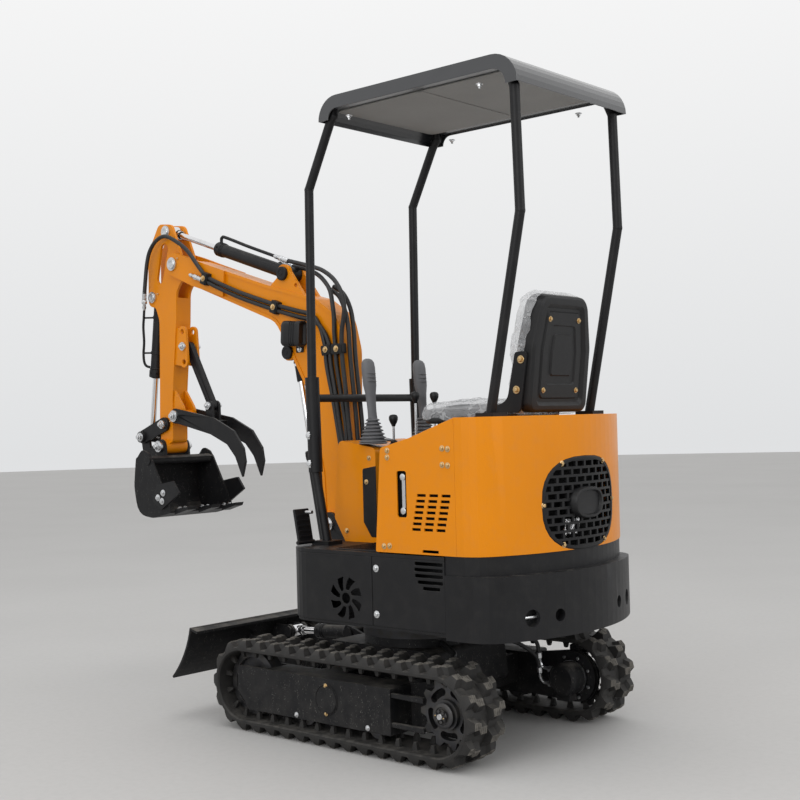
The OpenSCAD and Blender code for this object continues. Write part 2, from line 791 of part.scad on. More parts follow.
module seat_cushion() color(black) slab(-seat_w / 2, seat_w / 2) polygon(rounded([
    [cushion_rear, cushion_low + seat_gap, 12], [cushion_front - 10, cushion_low + seat_gap, 20],
    [cushion_front, cushion_low + 53, 24], [cushion_rear, cushion_low + 61, 20]
]));

back_low = [seam_x - 35, 1100];
back_lean = -6.8;
back_h = 385;
shoulder_h = 215;
shoulder_in = 38;
module seat_back() color(black) translate([back_low[0], 0, back_low[1]]) rotate([0, back_lean, 0])
    translate([-backrest_t, 0, 0]) rotate([90, 0, 90]) linear_extrude(backrest_t) polygon(rounded([
        [-seat_w / 2, 0, 30], [seat_w / 2, 0, 30], [seat_w / 2, shoulder_h, 80],
        [seat_w / 2 - shoulder_in, back_h, 50], [-seat_w / 2 + shoulder_in, back_h, 50],
        [-seat_w / 2, shoulder_h, 80]
    ]));

bracket_y = seat_w / 2 + seat_gap;
bracket_t = 8;
bracket_foot = seam_x + 110;
bracket_top = 1290;
module seat_brackets() color(black) both_sides() {
    slab(bracket_y, bracket_y + bracket_t) polygon(rounded([
        [bracket_foot, base_top(bracket_foot) + seat_gap, 0], [bracket_foot, 1085, 10],
        [seam_x - 30, 1135, 40], [seam_x - 65, bracket_top, 12], [seam_x - 112, bracket_top, 12],
        [seam_x - 80, hood_top + 10, 20],
        [seam_x + 10, hood_top + 10, 0], [cushion_rear, base_top(cushion_rear) + seat_gap, 0]
    ]));
}

// Canopy posts: bent front and rear tubes, sleeves at the front, a cross bar and foot plates
post_y = post_gauge / 2;
lining_low = roof_top - 40;
post_top = lining_low - seat_gap;
front_post = [
    [180, deck_top + 12], [228, 905], [236, 1240], [228, 1905], [116, roof_top - 83], [100, roof_top - 63],
    [100, post_top]
];
rear_post = [
    [seam_x - 43, hood_top + 10], [seam_x - 176, 1717], [seam_x - 167, roof_top - 103],
    [seam_x - 152, roof_top - 68], [seam_x - 152, post_top]
];
cross_bar = [234, 1166];
cross_bar_d = 28;
module canopy_frame() color(black) {
    both_sides() {
        bent_tube(front_post, post_d, post_y);
        bent_tube(rear_post, post_d, post_y);
        sleeve = [for (k = [1, 2]) [front_post[k][0], post_y, front_post[k][1]]];
        rod(sleeve[0], sleeve[1], sleeve_d);
        translate([front_post[0][0] - 40, post_y - 35, deck_top]) cube([80, 70, 14]);
        translate([rear_post[0][0] - 35, post_y - 35, hood_top]) cube([70, 70, 12]);
    }
    rod([cross_bar[0], -post_y, cross_bar[1]], [cross_bar[0], post_y, cross_bar[1]], cross_bar_d);
}

// Roof: a sheet rolled down at front and rear, with a band along each side and a lining below
roof_front = 140;
roof_rear = seam_x - 202;
roof_roll_front = 82;
roof_roll_rear = 100;
function roof_line(inset) = concat(
    arc([roof_front - roof_roll_front, roof_top - roof_roll_front], roof_roll_front - inset, 0, 90, 8),
    arc([roof_rear + roof_roll_rear, roof_top - roof_roll_rear], roof_roll_rear - inset, 90, 180, 8)
);
function reversed(p) = [for (i = [len(p) - 1:-1:0]) p[i]];
roof_sheet = 4;
roof_band = 46;
module canopy_roof() color(black) {
    half = roof_w / 2;
    slab(-half, half) polygon(concat(roof_line(0), reversed(roof_line(roof_sheet))));
    twin_slab(half - roof_sheet, half) polygon(concat(roof_line(1), reversed(roof_line(roof_band))));
    slab(-half + 2, half - 2) polygon([
        [roof_front - 28, lining_low], [roof_front - 28, lining_low + 6],
        [roof_rear + 37, lining_low + 6], [roof_rear + 37, lining_low]
    ]);
}

// Boom: a bent box section with raised rims, a foot, ears for two cylinders and a fork for the arm
boom_rim_w = 13;
boom_rim_h = 3;
boom_head_r = 24;
boom_corners = [
    [330, 690, 0], [420, 690, 0], [429, 889, 60], [504, 1214, 90], [560, 1310, 40], [640, 1440, 60],
    [667, 1479, 80], [1180, 1672, 0], [1150, 1768, 10], [721, 1629, 200], [446, 1552, 60], [330, 1475, 90],
    [298, 1348, 120], [312, 900, 80]
];
boom_outline = rounded(boom_corners);
fork_outline = concat(
    [[960, 1600], [1150, 1660]], arc(arm_pivot, 48, -70, 100, 12), [[1200, 1790], [1080, 1748], [950, 1704]]
);
arm_cyl_ear = concat(arc(arm_cyl_base, 36, -20, 170, 12), [[500, 1560], [560, 1540], [720, 1600]]);
boom_cyl_ear = concat(arc(boom_cyl_eye, 32, -130, 70, 12), [[640, 1440], [560, 1420], [500, 1250]]);
spare_hole = [550, 1611];
spare_hole_r = 8;
module boom() color(yellow) difference() {
    union() {
        slab(-boom_half, boom_half) polygon(boom_outline);
        twin_slab(boom_half, boom_half + boom_rim_h) difference() {
            polygon(boom_outline);
            polygon(rounded(inset(boom_corners, boom_rim_w)));
            polygon(arc(boom_cyl_eye, boom_head_r + eye_gap, 0, 360, 24));
        }
        cross_pin(boom_pivot, 45, -foot_half, foot_half);
        twin_slab(boom_half, fork_out) polygon(fork_outline);
        twin_slab(ear_in, boom_half) polygon(arm_cyl_ear);
        twin_slab(ear_in, boom_half) polygon(boom_cyl_ear);
    }
    cross_pin(boom_pivot, main_pin_r + pin_gap, -200, 200);
    cross_pin(arm_pivot, main_pin_r + pin_gap, -200, 200);
    cross_pin(arm_cyl_base, link_pin_r + pin_gap, -200, 200);
    cross_pin(boom_cyl_eye, link_pin_r + pin_gap, -200, 200);
    cross_pin(spare_hole, spare_hole_r, -200, 200);
    slab(-ear_in, ear_in) {
        polygon(arc(arm_cyl_base, 46, 0, 360, 24));
        polygon(arc(boom_cyl_eye, 60, 0, 360, 24));
    }
}

module boom_pins() color(steel) {
    headed_pin(arm_pivot, main_pin_r, fork_out, 28, 8);
    headed_pin(arm_cyl_base, link_pin_r, boom_half, boom_head_r, 8);
    pin_ends(boom_cyl_eye, link_pin_r, ear_in, boom_half, boom_head_r, 8);
}

// Work lamp on the boom's left side
lamp_seat = boom_half + boom_rim_h + seat_gap;
lamp_t = 50;
module work_lamp() color(black) slab(lamp_seat, lamp_seat + lamp_t) polygon(rounded([
    [486, 1368, 14], [594, 1376, 14], [584, 1476, 14], [484, 1466, 14]
]));

// Hydraulic hoses that the boom carries along its left side
hose_d = 16;
hose_pitch = 22;
clamp_d = hose_d + 4;
hose_y = boom_half + clamp_d / 2 + seat_gap;
hose_clamps = [[700, 1541], [470, 1503], [374, 1400]];
hose_ends = [[930, 1617], [355, 860]];
module boom_hoses() color(black) {
    for (k = [-0.5, 0.5]) {
        up = [0, hose_pitch * k];
        back = [hose_pitch * k, 0];
        p = [
            hose_ends[0] + up, hose_clamps[0] + up, hose_clamps[1] + up,
            hose_clamps[2] + back, hose_ends[1] + back
        ];
        for (i = [0:len(p) - 2])
            rod([p[i][0], hose_y, p[i][1]], [p[i + 1][0], hose_y, p[i + 1][1]], hose_d);
    }
    for (p = hose_clamps) translate([p[0], hose_y, p[1]])
        cube([hose_pitch + clamp_d, clamp_d, hose_pitch + clamp_d], center = true);
}

boom_barrel_l = 500;
arm_barrel_l = 450;
bucket_barrel_l = 345;
module boom_barrel() color(black) barrel(
    boom_cyl_base, boom_cyl_eye, boom_barrel_l, barrel_r, 30, ear_in - seat_gap, link_pin_r + pin_gap);
module boom_rod() color(steel) piston_rod(boom_cyl_base, boom_cyl_eye, 240, 28, ear_in - eye_gap);
module arm_barrel() color(black) barrel(
    arm_cyl_base, arm_cyl_eye, arm_barrel_l, barrel_r, 30, ear_in - seat_gap, link_pin_r + pin_gap);
module arm_rod() color(steel) piston_rod(arm_cyl_base, arm_cyl_eye, 262, 26, head_gap - eye_gap);
module bucket_barrel() color(black) barrel(
    bucket_cyl_base, linkage_pin, bucket_barrel_l, barrel_r - 1, 26, head_gap - seat_gap,
    link_pin_r + pin_gap);
module bucket_rod() color(steel) piston_rod(bucket_cyl_base, linkage_pin, 250, 25, link_in - eye_gap);

// Arm: two head plates, a tapering box below them, gussets for the thumb and a row of strut holes
arm_outline = rounded([
    [1322, 1010, 20], [1400, 1000, 20], [1406, 1120, 200], [1397, 1400, 300], [1395, 1535, 60],
    [1418, 1590, 20], [1466, 1600, 30], [1462, 1830, 80], [1385, 1946, 30], [1300, 1936, 30],
    [1240, 1800, 30], [1232, 1700, 30], [1278, 1650, 60], [1284, 1519, 200], [1318, 1200, 200]
]);
head_slot = bar([1352, 1836], 24, [1384, 1712], 20);
thumb_holes = [strut_top + [6, 62], strut_top, strut_top + [-2, -66]];
strut_hole_r = 11;
rail_in = 22;
rail_out = 34;
strut_ear_in = 12;
strut_ear_out = 24;
module arm() color(yellow) difference() {
    union() {
        slab(-arm_half, arm_half) polygon(arm_outline);
        cross_pin(bucket_pivot, 32, -bucket_ear_in + seat_gap, bucket_ear_in - seat_gap);
        cross_pin(rocker_pivot, 26, -rocker_in + seat_gap, rocker_in - seat_gap);
        cross_pin(arm_pivot, 40, -boom_half + seat_gap, boom_half - seat_gap);
        cross_pin(thumb_pivot, 26, -thumb_in + seat_gap, thumb_in - seat_gap);
        twin_slab(rail_in, rail_out) polygon(rounded([
            [1310, 1230, 0], [1250, 1150, 40], [1262, 1096, 12], [1330, 1100, 0]
        ]));
        twin_slab(rail_in, rail_out) polygon(concat(
            arc(thumb_holes[0], 24, 40, 180, 8), arc(thumb_holes[2], 24, 180, 320, 8),
            [[1310, 1340], [1300, 1500]]
        ));
    }
    slab(-head_gap, head_gap) polygon([
        [1200, 1660], [1420, 1560], [1520, 1560], [1520, 2000], [1200, 2000]
    ]);
    slab(-200, 200) polygon(head_slot);
    for (p = [bucket_pivot, rocker_pivot, thumb_pivot, arm_cyl_eye, bucket_cyl_base])
        cross_pin(p, link_pin_r + pin_gap, -200, 200);
    for (p = thumb_holes) cross_pin(p, strut_hole_r, -200, 200);
    cross_pin(arm_pivot, main_pin_r + pin_gap, -200, 200);
}

module arm_pins() color(steel) {
    headed_pin(bucket_pivot, link_pin_r, bucket_ear_out + 1, 24, 12);
    headed_pin(rocker_pivot, link_pin_r, rocker_out + 1, 18, 12);
    headed_pin(thumb_pivot, link_pin_r, thumb_out, 24, 12);
    headed_pin(bucket_cyl_base, link_pin_r, arm_half, 24, 8);
    pin_ends(arm_cyl_eye, link_pin_r, head_gap, arm_half, 26, 8);
    headed_pin(strut_top, strut_hole_r - pin_gap, rail_out, 18, 8);
    headed_pin(strut_low, strut_hole_r - pin_gap, strut_ear_out, 16, 8);
}

// Thumb: two curved tines joined by a cross piece with the strut's ears
tine_outline = concat(
    arc(thumb_pivot, 32, -105, 85, 14), [[1040, 1110], [920, 1056], [862, 985], [852, 930]], [[872, 868]],
    [[912, 950], [960, 1000], [1060, 1042]]
);
module thumb() color(black) difference() {
    union() {
        twin_slab(thumb_in, thumb_out) polygon(tine_outline);
        slab(-thumb_in, thumb_in) polygon([[1070, 1060], [1120, 1072], [1118, 1104], [1066, 1098]]);
        twin_slab(strut_ear_in, strut_ear_out)
            polygon(concat(arc(strut_low, 22, 0, 180, 8), [[1080, 1080], [1118, 1084]]));
    }
    cross_pin(thumb_pivot, link_pin_r + pin_gap, -200, 200);
    cross_pin(strut_low, strut_hole_r, -200, 200);
}

module thumb_strut() color(black) difference() {
    slab(-strut_ear_in + seat_gap, strut_ear_in - seat_gap) polygon(bar(strut_top, 20, strut_low, 18));
    for (p = [strut_top, strut_low]) cross_pin(p, strut_hole_r, -200, 200);
}

// Rocker and link between the bucket cylinder and the bucket
module rocker() color(black) {
    difference() {
        twin_slab(rocker_in, rocker_out) polygon(bar(rocker_pivot, 30, linkage_pin, 28));
        cross_pin(rocker_pivot, link_pin_r + pin_gap, -200, 200);
    }
    both_sides() {
        cross_pin(linkage_pin, link_pin_r, link_in, rocker_in);
        cross_pin(linkage_pin, 24, rocker_out, rocker_out + 12);
    }
}

module bucket_link() color(black) difference() {
    union() {
        twin_slab(link_in, link_out) polygon(bar(linkage_pin, 26, link_low_pin, 26));
        cross_pin(link_low_pin, 22, -bucket_ear_in + eye_gap, bucket_ear_in - eye_gap);
    }
    cross_pin(linkage_pin, link_pin_r + pin_gap, -200, 200);
}

// Bucket: curved shell with side plates, a tube along its top edge, and ears for the arm and the link
bucket_outline = rounded([
    [1185, 724, 0], [1300, 700, 60], [1400, 712, 70], [1424, 830, 120], [1408, 952, 12],
    [1308, 952, 12], [1288, 916, 12], [1215, 790, 20]
]);
bucket_inner = rounded([
    [1150, 738, 0], [1300, 709, 55], [1394, 722, 62], [1414, 830, 110], [1398, 940, 10],
    [1324, 940, 10], [1290, 950, 0], [1150, 900, 0]
]);
bucket_side = rounded([
    [1185, 724, 0], [1300, 700, 60], [1400, 712, 70], [1424, 830, 120], [1410, 940, 40],
    [1366, 986, 24], [1322, 968, 24], [1215, 790, 20]
]);
bucket_tube = [1328, 938];
bucket_tube_r = 19;
module bucket() color(black) {
    half = bucket_w / 2;
    difference() {
        union() {
            slab(-half, half) polygon(bucket_outline);
            twin_slab(bucket_ear_in, bucket_ear_out) polygon(concat(
                arc(bucket_pivot, 30, 60, 180, 10), [[1340, 945], [1420, 860]],
                arc(link_low_pin, 26, -90, 60, 10)
            ));
        }
        slab(-half + bucket_t, half - bucket_t) polygon(bucket_inner);
        cross_pin(bucket_pivot, link_pin_r + pin_gap, -bucket_ear_out - 1, bucket_ear_out + 1);
    }
    twin_slab(half - bucket_t, half) polygon(bucket_side);
    cross_pin(bucket_tube, bucket_tube_r, -half - 4, half + 4);
    both_sides() cross_pin(link_low_pin, 24, bucket_ear_out - 1, bucket_ear_out + 12);
}

// Bolted teeth and side cutters
module bucket_teeth() color(black) {
    half = bucket_w / 2;
    step = (bucket_w - tooth_w - 40) / (tooth_count - 1);
    for (i = [0:tooth_count - 1]) {
        y = -half + 20 + i * step;
        slab(y, y + tooth_w) polygon([[1184.6, 716], [1184.6, 738], [1096, 752], [1104, 738]]);
    }
    twin_slab(half + seat_gap, half + 10) polygon(rounded([
        [1290, 770, 10], [1233, 737, 8], [1116, 806, 4], [1156, 856, 6], [1262, 838, 20]
    ]));
}

chassis_frame();
slew_bearing();
track_frame_left();
track_frame_right();
track_left();
track_right();
sprockets();
track_rollers();
travel_motors();
blade();
blade_barrel();
blade_rod();
deck();
skirt();
counterweight();
engine_hood();
side_panel_left();
side_panel_right();
rear_grille();
engine_block();
boom_bracket();
bracket_pins();
control_console();
joysticks();
control_levers();
seat_base();
seat_cushion();
seat_back();
seat_brackets();
canopy_frame();
canopy_roof();
boom();
boom_pins();
work_lamp();
boom_hoses();
boom_barrel();
boom_rod();
arm();
arm_pins();
thumb();
thumb_strut();
arm_barrel();
arm_rod();
bucket_barrel();
bucket_rod();
rocker();
bucket_link();
bucket();
bucket_teeth();
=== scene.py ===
"""Looks of a tracked mini excavator with an open canopy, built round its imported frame."""
import json
import math

import bpy
from bpy.props import FloatProperty, FloatVectorProperty, IntProperty, PointerProperty
from mathutils import Matrix, Vector, noise


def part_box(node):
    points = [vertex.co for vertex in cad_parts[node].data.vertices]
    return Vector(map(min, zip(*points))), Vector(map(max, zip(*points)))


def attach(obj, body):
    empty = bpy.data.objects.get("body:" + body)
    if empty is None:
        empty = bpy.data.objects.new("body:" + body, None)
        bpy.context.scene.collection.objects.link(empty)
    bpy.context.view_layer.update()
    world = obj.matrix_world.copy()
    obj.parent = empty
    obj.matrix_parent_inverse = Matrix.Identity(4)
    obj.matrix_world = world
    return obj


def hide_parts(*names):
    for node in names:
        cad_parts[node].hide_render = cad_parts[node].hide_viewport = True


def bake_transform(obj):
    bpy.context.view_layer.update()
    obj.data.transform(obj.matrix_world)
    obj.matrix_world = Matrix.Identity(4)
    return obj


bl_info = {
    "name": "Mini excavator looks",
    "version": (1, 0, 0),
    "blender": (4, 5, 0),
    "location": "3D View > Sidebar > Excavator",
    "description": "Finishes, tracks, hoses, seat and hardware of a mini excavator",
    "category": "Object",
}

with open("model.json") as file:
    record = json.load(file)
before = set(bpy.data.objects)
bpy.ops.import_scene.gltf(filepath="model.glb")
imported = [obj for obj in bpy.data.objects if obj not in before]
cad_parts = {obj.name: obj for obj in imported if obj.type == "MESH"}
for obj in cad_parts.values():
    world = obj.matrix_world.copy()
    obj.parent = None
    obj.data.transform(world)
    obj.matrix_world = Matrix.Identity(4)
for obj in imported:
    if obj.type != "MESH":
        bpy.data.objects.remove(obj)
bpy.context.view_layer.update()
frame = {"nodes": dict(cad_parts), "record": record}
JOINTS = {joint["name"]: joint for joint in frame["record"]["behaviour"]["joints"]}


def pin(name):
    """Where a hinge's pin crosses the middle plane, as (x, z)."""
    x, _, z = JOINTS[name]["pos_m"]
    return x, z


BOOM_PIN = pin("boom")
ARM_PIN = pin("arm")
BUCKET_PIN = pin("bucket")
ROCKER_PIN = pin("rocker")
LINKAGE_PIN = pin("link")
BUCKET_BASE_PIN = pin("bucket_barrel_swing")
ARM_BASE_PIN = pin("arm_barrel_swing")
BOOM_BASE_PIN = pin("boom_barrel_swing")
ARM_EYE = (1.335, 1.908)
LINK_LOW_PIN = (1.490, 0.925)
THUMB_PIN = (1.284, 1.122)
STRUT_TOP = (1.247, 1.415)
STRUT_LOW = (1.105, 1.161)
BOOM_EYE = (0.598, 1.354)
BLADE_BASE_PIN = pin("blade_barrel_swing")
BLADE_EYE = (0.640, 0.272)


# Settings


class PaintSettings(bpy.types.PropertyGroup):
    """Colours of the painted, moulded and plated pieces."""

    yellow: FloatVectorProperty(
        name="Yellow paint", description="Colour of the hood, panels, console, boom and arm",
        subtype="COLOR", size=4, min=0, max=1, default=(0.72, 0.232, 0.0005, 1))
    black: FloatVectorProperty(
        name="Black paint", description="Colour of the skirt, canopy, blade and bucket",
        subtype="COLOR", size=4, min=0, max=1, default=(0.0062, 0.0062, 0.0070, 1))
    rubber: FloatVectorProperty(
        name="Track rubber", description="Colour of the clean rubber of the tracks",
        subtype="COLOR", size=4, min=0, max=1, default=(0.0130, 0.0125, 0.0122, 1))
    dust: FloatVectorProperty(
        name="Dust", description="Colour of the dust on tracks and upper faces",
        subtype="COLOR", size=4, min=0, max=1, default=(0.185, 0.172, 0.152, 1))
    grip: FloatVectorProperty(
        name="Joystick grey", description="Colour of the joysticks' grips and bellows",
        subtype="COLOR", size=4, min=0, max=1, default=(0.105, 0.106, 0.112, 1))


class TrackSettings(bpy.types.PropertyGroup):
    """Sizes of the rubber tracks."""

    wheel_base: FloatProperty(
        name="Wheel base", description="Distance from the sprocket's axle to the idler's axle",
        unit="LENGTH", default=0.880)
    lug_count: IntProperty(name="Lugs", description="Number of lugs in each of a track's two rows", default=36)
    lug_height: FloatProperty(
        name="Lug height", description="Height of a lug above the belt", unit="LENGTH", default=0.025)
    belt: FloatProperty(
        name="Belt", description="Thickness of the belt between its lugs", unit="LENGTH", default=0.016)
    groove: FloatProperty(
        name="Groove", description="Width of the groove between the two rows", unit="LENGTH", default=0.027)


class HoseSettings(bpy.types.PropertyGroup):
    """Sizes of the hydraulic hoses."""

    radius: FloatProperty(
        name="Radius", description="Radius of a hydraulic hose", unit="LENGTH", default=0.0085)
    thin: FloatProperty(
        name="Pipe radius", description="Radius of a cylinder's steel side pipe", unit="LENGTH", default=0.0055)


class SeatSettings(bpy.types.PropertyGroup):
    """Shape of the seat."""

    crown: FloatProperty(
        name="Crown", description="How far the cushion swells above its edges", unit="LENGTH", default=0.016)
    film_gap: FloatProperty(
        name="Film gap", description="Mean distance of the clear film from the cushion",
        unit="LENGTH", default=0.006)


class StageSettings(bpy.types.PropertyGroup):
    """Floor, light and camera."""

    floor: FloatVectorProperty(
        name="Floor", description="Colour of the floor", subtype="COLOR", size=4, min=0, max=1,
        default=(0.465, 0.460, 0.452, 1))
    sky: FloatProperty(name="Sky", description="Strength of the sky's soft light", default=0.93)
    key: FloatProperty(
        name="Key light", description="Power of the large soft light", subtype="POWER", default=120)
    camera_at: FloatVectorProperty(
        name="Camera", description="Place of the camera", subtype="TRANSLATION", default=(-2.972, 3.485, 1.082))
    yaw: FloatProperty(
        name="Yaw", description="Turn of the view from forward to the right", subtype="ANGLE",
        default=math.radians(48.87))
    pitch: FloatProperty(
        name="Pitch", description="Tilt of the view upwards", subtype="ANGLE", default=math.radians(0.89))
    roll: FloatProperty(
        name="Roll", description="Roll of the camera", subtype="ANGLE", default=math.radians(-1.46))
    focal: FloatProperty(name="Focal length", description="Lens for a 36 mm sensor", default=57.415)


# Shader expressions


class Value:
    """A shader socket. Arithmetic on it adds Math nodes."""

    def __init__(self, finish, socket):
        self.finish = finish
        self.socket = socket

    def _math(self, operation, first, second):
        return self.finish.node("ShaderNodeMath", {"operation": operation}, {0: first, 1: second})

    def __add__(self, other):
        return self._math("ADD", self, other)

    __radd__ = __add__

    def __sub__(self, other):
        return self._math("SUBTRACT", self, other)

    def __rsub__(self, other):
        return self._math("SUBTRACT", other, self)

    def __mul__(self, other):
        return self._math("MULTIPLY", self, other)

    __rmul__ = __mul__

    def ramp(self, low, high):
        """0 below low and 1 above high, with a smooth step between."""
        return self.finish.node(
            "ShaderNodeMapRange", {"interpolation_type": "SMOOTHSTEP"},
            {"Value": self, "From Min": low, "From Max": high})


class Finish:
    """A procedural material round one Principled shader, laid out in metres."""

    def __init__(self, name, **constants):
        self.material = bpy.data.materials.new(f"{name}_finish")
        self.material.use_nodes = True
        self.tree = self.material.node_tree
        self.shader = self.tree.nodes["Principled BSDF"]
        for key, value in constants.items():
            self.shader.inputs[key.replace("_", " ")].default_value = value
        self._coordinates = None

    def node(self, kind, settings=(), inputs=(), output=0):
        made = self.tree.nodes.new(kind)
        for key, value in dict(settings).items():
            setattr(made, key, value)
        for key, value in dict(inputs).items():
            if isinstance(value, Value):
                self.tree.links.new(value.socket, made.inputs[key])
            else:
                made.inputs[key].default_value = value
        return Value(self, made.outputs[output])

    def feed(self, name, value):
        self.tree.links.new(value.socket, self.shader.inputs[name])

    def place(self, stretch=(1, 1, 1)):
        """Coordinates in the piece's own frame."""
        if self._coordinates is None:
            self._coordinates = self.node("ShaderNodeTexCoord", output="Object")
        if tuple(stretch) == (1, 1, 1):
            return self._coordinates
        return self.node("ShaderNodeMapping", inputs={"Vector": self._coordinates, "Scale": stretch})

    def grain(self, scale, detail=3.0, rough=0.55, stretch=(1, 1, 1)):
        return self.node(
            "ShaderNodeTexNoise", inputs={
                "Vector": self.place(stretch), "Scale": scale, "Detail": detail, "Roughness": rough})

    def cells(self, scale, feature="F1"):
        return self.node(
            "ShaderNodeTexVoronoi", {"feature": feature}, {"Vector": self.place(), "Scale": scale})

    def axis(self, vector, name):
        return self.node("ShaderNodeSeparateXYZ", inputs={0: vector}, output=name)

    def upward(self):
        """1 on faces that look up, 0 on walls."""
        normal = self.node("ShaderNodeTexCoord", output="Normal")
        return self.axis(normal, "Z").ramp(0.35, 0.95)

    def height(self):
        return self.axis(self.place(), "Z")

    def mix(self, factor, first, second):
        return self.node("ShaderNodeMix", {"data_type": "RGBA"}, {0: factor, 6: first, 7: second}, output=2)

    def bump(self, height, distance, strength=1.0):
        self.feed("Normal", self.node(
            "ShaderNodeBump", inputs={"Height": height, "Distance": distance, "Strength": strength}))


def darker(colour, factor):
    return (*(channel * factor for channel in colour[:3]), 1)


FINISHES = {}
MADE = {}


def surface(**constants):
    """Lists a function that lays on the finish of its own name, with the shader's constant inputs."""
    def listed(lay_on):
        FINISHES[lay_on.__name__] = lay_on, constants
        return lay_on
    return listed


@surface(Coat_Weight=0.12, Coat_Roughness=0.10, Specular_IOR_Level=0.20)
def yellow_paint(f, paint):
    """Glossy powder coat: slight orange peel, faint tone drift, dust on upper faces."""
    drift = f.grain(3.5, 2)
    tone = f.mix(drift, darker(paint.yellow, 0.90), darker(paint.yellow, 1.06))
    dust = (f.upward() * 0.20 + 0.05) * f.grain(26, 5).ramp(0.45, 0.75)
    f.feed("Base Color", f.mix(dust, tone, paint.dust))
    f.feed("Roughness", 0.30 + dust * 0.5 + f.grain(60, 3) * 0.10)
    f.bump(f.grain(420, 2), 0.00025, 0.5)


@surface(Specular_IOR_Level=0.26)
def black_paint(f, paint):
    """Satin black powder coat with a fine grain and a little pale dust."""
    dust = (f.upward() * 0.24 + 0.025) * f.grain(22, 5).ramp(0.42, 0.75)
    tone = f.mix(f.grain(6, 3), paint.black, darker(paint.black, 1.6))
    f.feed("Base Color", f.mix(dust, tone, paint.dust))
    f.feed("Roughness", 0.36 + dust * 0.6 + f.grain(45, 3) * 0.14)
    f.bump(f.grain(700, 2), 0.00022, 0.6)


@surface(Specular_IOR_Level=0.22)
def worn_black(f, paint):
    """Black paint of the undercarriage: matt, with grey specks and dust streaks."""
    streaks = f.grain(70, 3, stretch=(1, 1, 0.22)).ramp(0.44, 0.66)
    specks = f.grain(330, 3, stretch=(1, 1, 0.45)).ramp(0.60, 0.68) * streaks
    low = 1 - f.height().ramp(0.02, 0.34)
    dust = (f.upward() * 0.50 + low * 0.07 + 0.015) * f.grain(18, 5).ramp(0.32, 0.72)
    tone = f.mix(f.grain(9, 3), paint.black, darker(paint.black, 1.9))
    marked = f.mix(specks * 0.55, tone, (0.26, 0.25, 0.23, 1))
    f.feed("Base Color", f.mix(dust, marked, paint.dust))
    f.feed("Roughness", 0.46 + dust * 0.5 + f.grain(50, 3) * 0.15)
    f.bump(f.grain(500, 3), 0.0003, 0.6)


@surface(Specular_IOR_Level=0.3)
def track_rubber(f, paint):
    """Moulded rubber: grey dust on upper faces and lug tips, dark elsewhere."""
    grime = f.grain(30, 6, 0.65)
    dust = (f.upward() * 0.42 + 0.10) * grime.ramp(0.30, 0.80)
    tone = f.mix(f.grain(11, 3), paint.rubber, darker(paint.rubber, 1.9))
    f.feed("Base Color", f.mix(dust, tone, darker(paint.dust, 0.75)))
    f.feed("Roughness", 0.62 + dust * 0.35)
    f.bump(grime + f.grain(240, 3) * 0.5, 0.0008, 0.6)


@surface(Specular_IOR_Level=0.25)
def lug_top_dust_and_highlight(f, paint):
    """Scuffed tops of the lugs, grey with dried dust, and lightened further as a painted highlight of the light
    from above.
    """
    grime = f.grain(55, 6, 0.65)
    # Both colours are lifted: partly dried dust, partly a painted highlight where light falls on the lug tops.
    f.feed("Base Color", f.mix(grime.ramp(0.20, 0.62), darker(paint.rubber, 2.0), darker(paint.dust, 0.72)))
    f.feed("Roughness", 0.70 + grime * 0.2)
    f.bump(grime + f.grain(300, 3) * 0.5, 0.0008, 0.6)


def plated(f, colour, roughness):
    """Plated steel with fine scratches and small dark stains."""
    stain = f.grain(90, 4).ramp(0.52, 0.80)
    f.feed("Base Color", f.mix(stain * 0.6, colour, darker(colour, 0.35)))
    f.feed("Roughness", roughness + stain * 0.30 + f.grain(300, 2) * 0.12)
    f.bump(f.grain(600, 2), 0.0001, 0.4)


@surface(Metallic=1.0)
def chrome_rod(f, paint):
    """Ground hard chrome with an oil film."""
    oil = f.grain(16, 4).ramp(0.50, 0.85)
    f.feed("Base Color", f.mix(oil * 0.4, (0.78, 0.78, 0.79, 1), (0.42, 0.40, 0.37, 1)))
    f.feed("Roughness", 0.10 + oil * 0.16 + f.grain(800, 2) * 0.05)


@surface(Metallic=0.85)
def dark_steel(f, paint):
    """Bare dark steel with oil and grey dust."""
    grime = f.grain(34, 5).ramp(0.35, 0.75)
    f.feed("Base Color", f.mix(grime * 0.7, (0.075, 0.075, 0.08, 1), darker(paint.dust, 0.6)))
    f.feed("Roughness", 0.40 + grime * 0.35)
    f.bump(f.grain(260, 3), 0.0003, 0.5)


@surface(Specular_IOR_Level=0.45)
def hose_rubber(f, paint):
    """Semi-matt hose cover with a fine wrapped texture and scuffs."""
    scuff = f.grain(70, 5).ramp(0.55, 0.82)
    f.feed("Base Color", f.mix(scuff * 0.35, (0.012, 0.012, 0.0125, 1), (0.10, 0.098, 0.095, 1)))
    f.feed("Roughness", 0.40 + scuff * 0.25 + f.grain(300, 2) * 0.12)
    f.bump(f.grain(380, 2, stretch=(1, 1, 0.4)), 0.0004, 0.5)


@surface(Specular_IOR_Level=0.34)
def black_plastic(f, paint):
    """Moulded black plastic with a fine leather-like grain."""
    pebble = f.cells(520)
    f.feed("Base Color", f.mix(f.grain(9, 3), (0.006, 0.006, 0.0065, 1), (0.012, 0.012, 0.013, 1)))
    f.feed("Roughness", 0.34 + f.grain(40, 3) * 0.18)
    f.bump(pebble, 0.00025, 0.35)


@surface(Specular_IOR_Level=0.4)
def grey_rubber(f, paint):
    """Soft grey grip and bellows rubber."""
    dust = f.upward() * f.grain(40, 4).ramp(0.4, 0.8) * 0.4
    f.feed("Base Color", f.mix(dust, f.mix(f.grain(20, 3), paint.grip, darker(paint.grip, 1.35)), paint.dust))
    f.feed("Roughness", 0.50 + f.grain(90, 3) * 0.2)
    f.bump(f.grain(900, 2), 0.0002, 0.5)


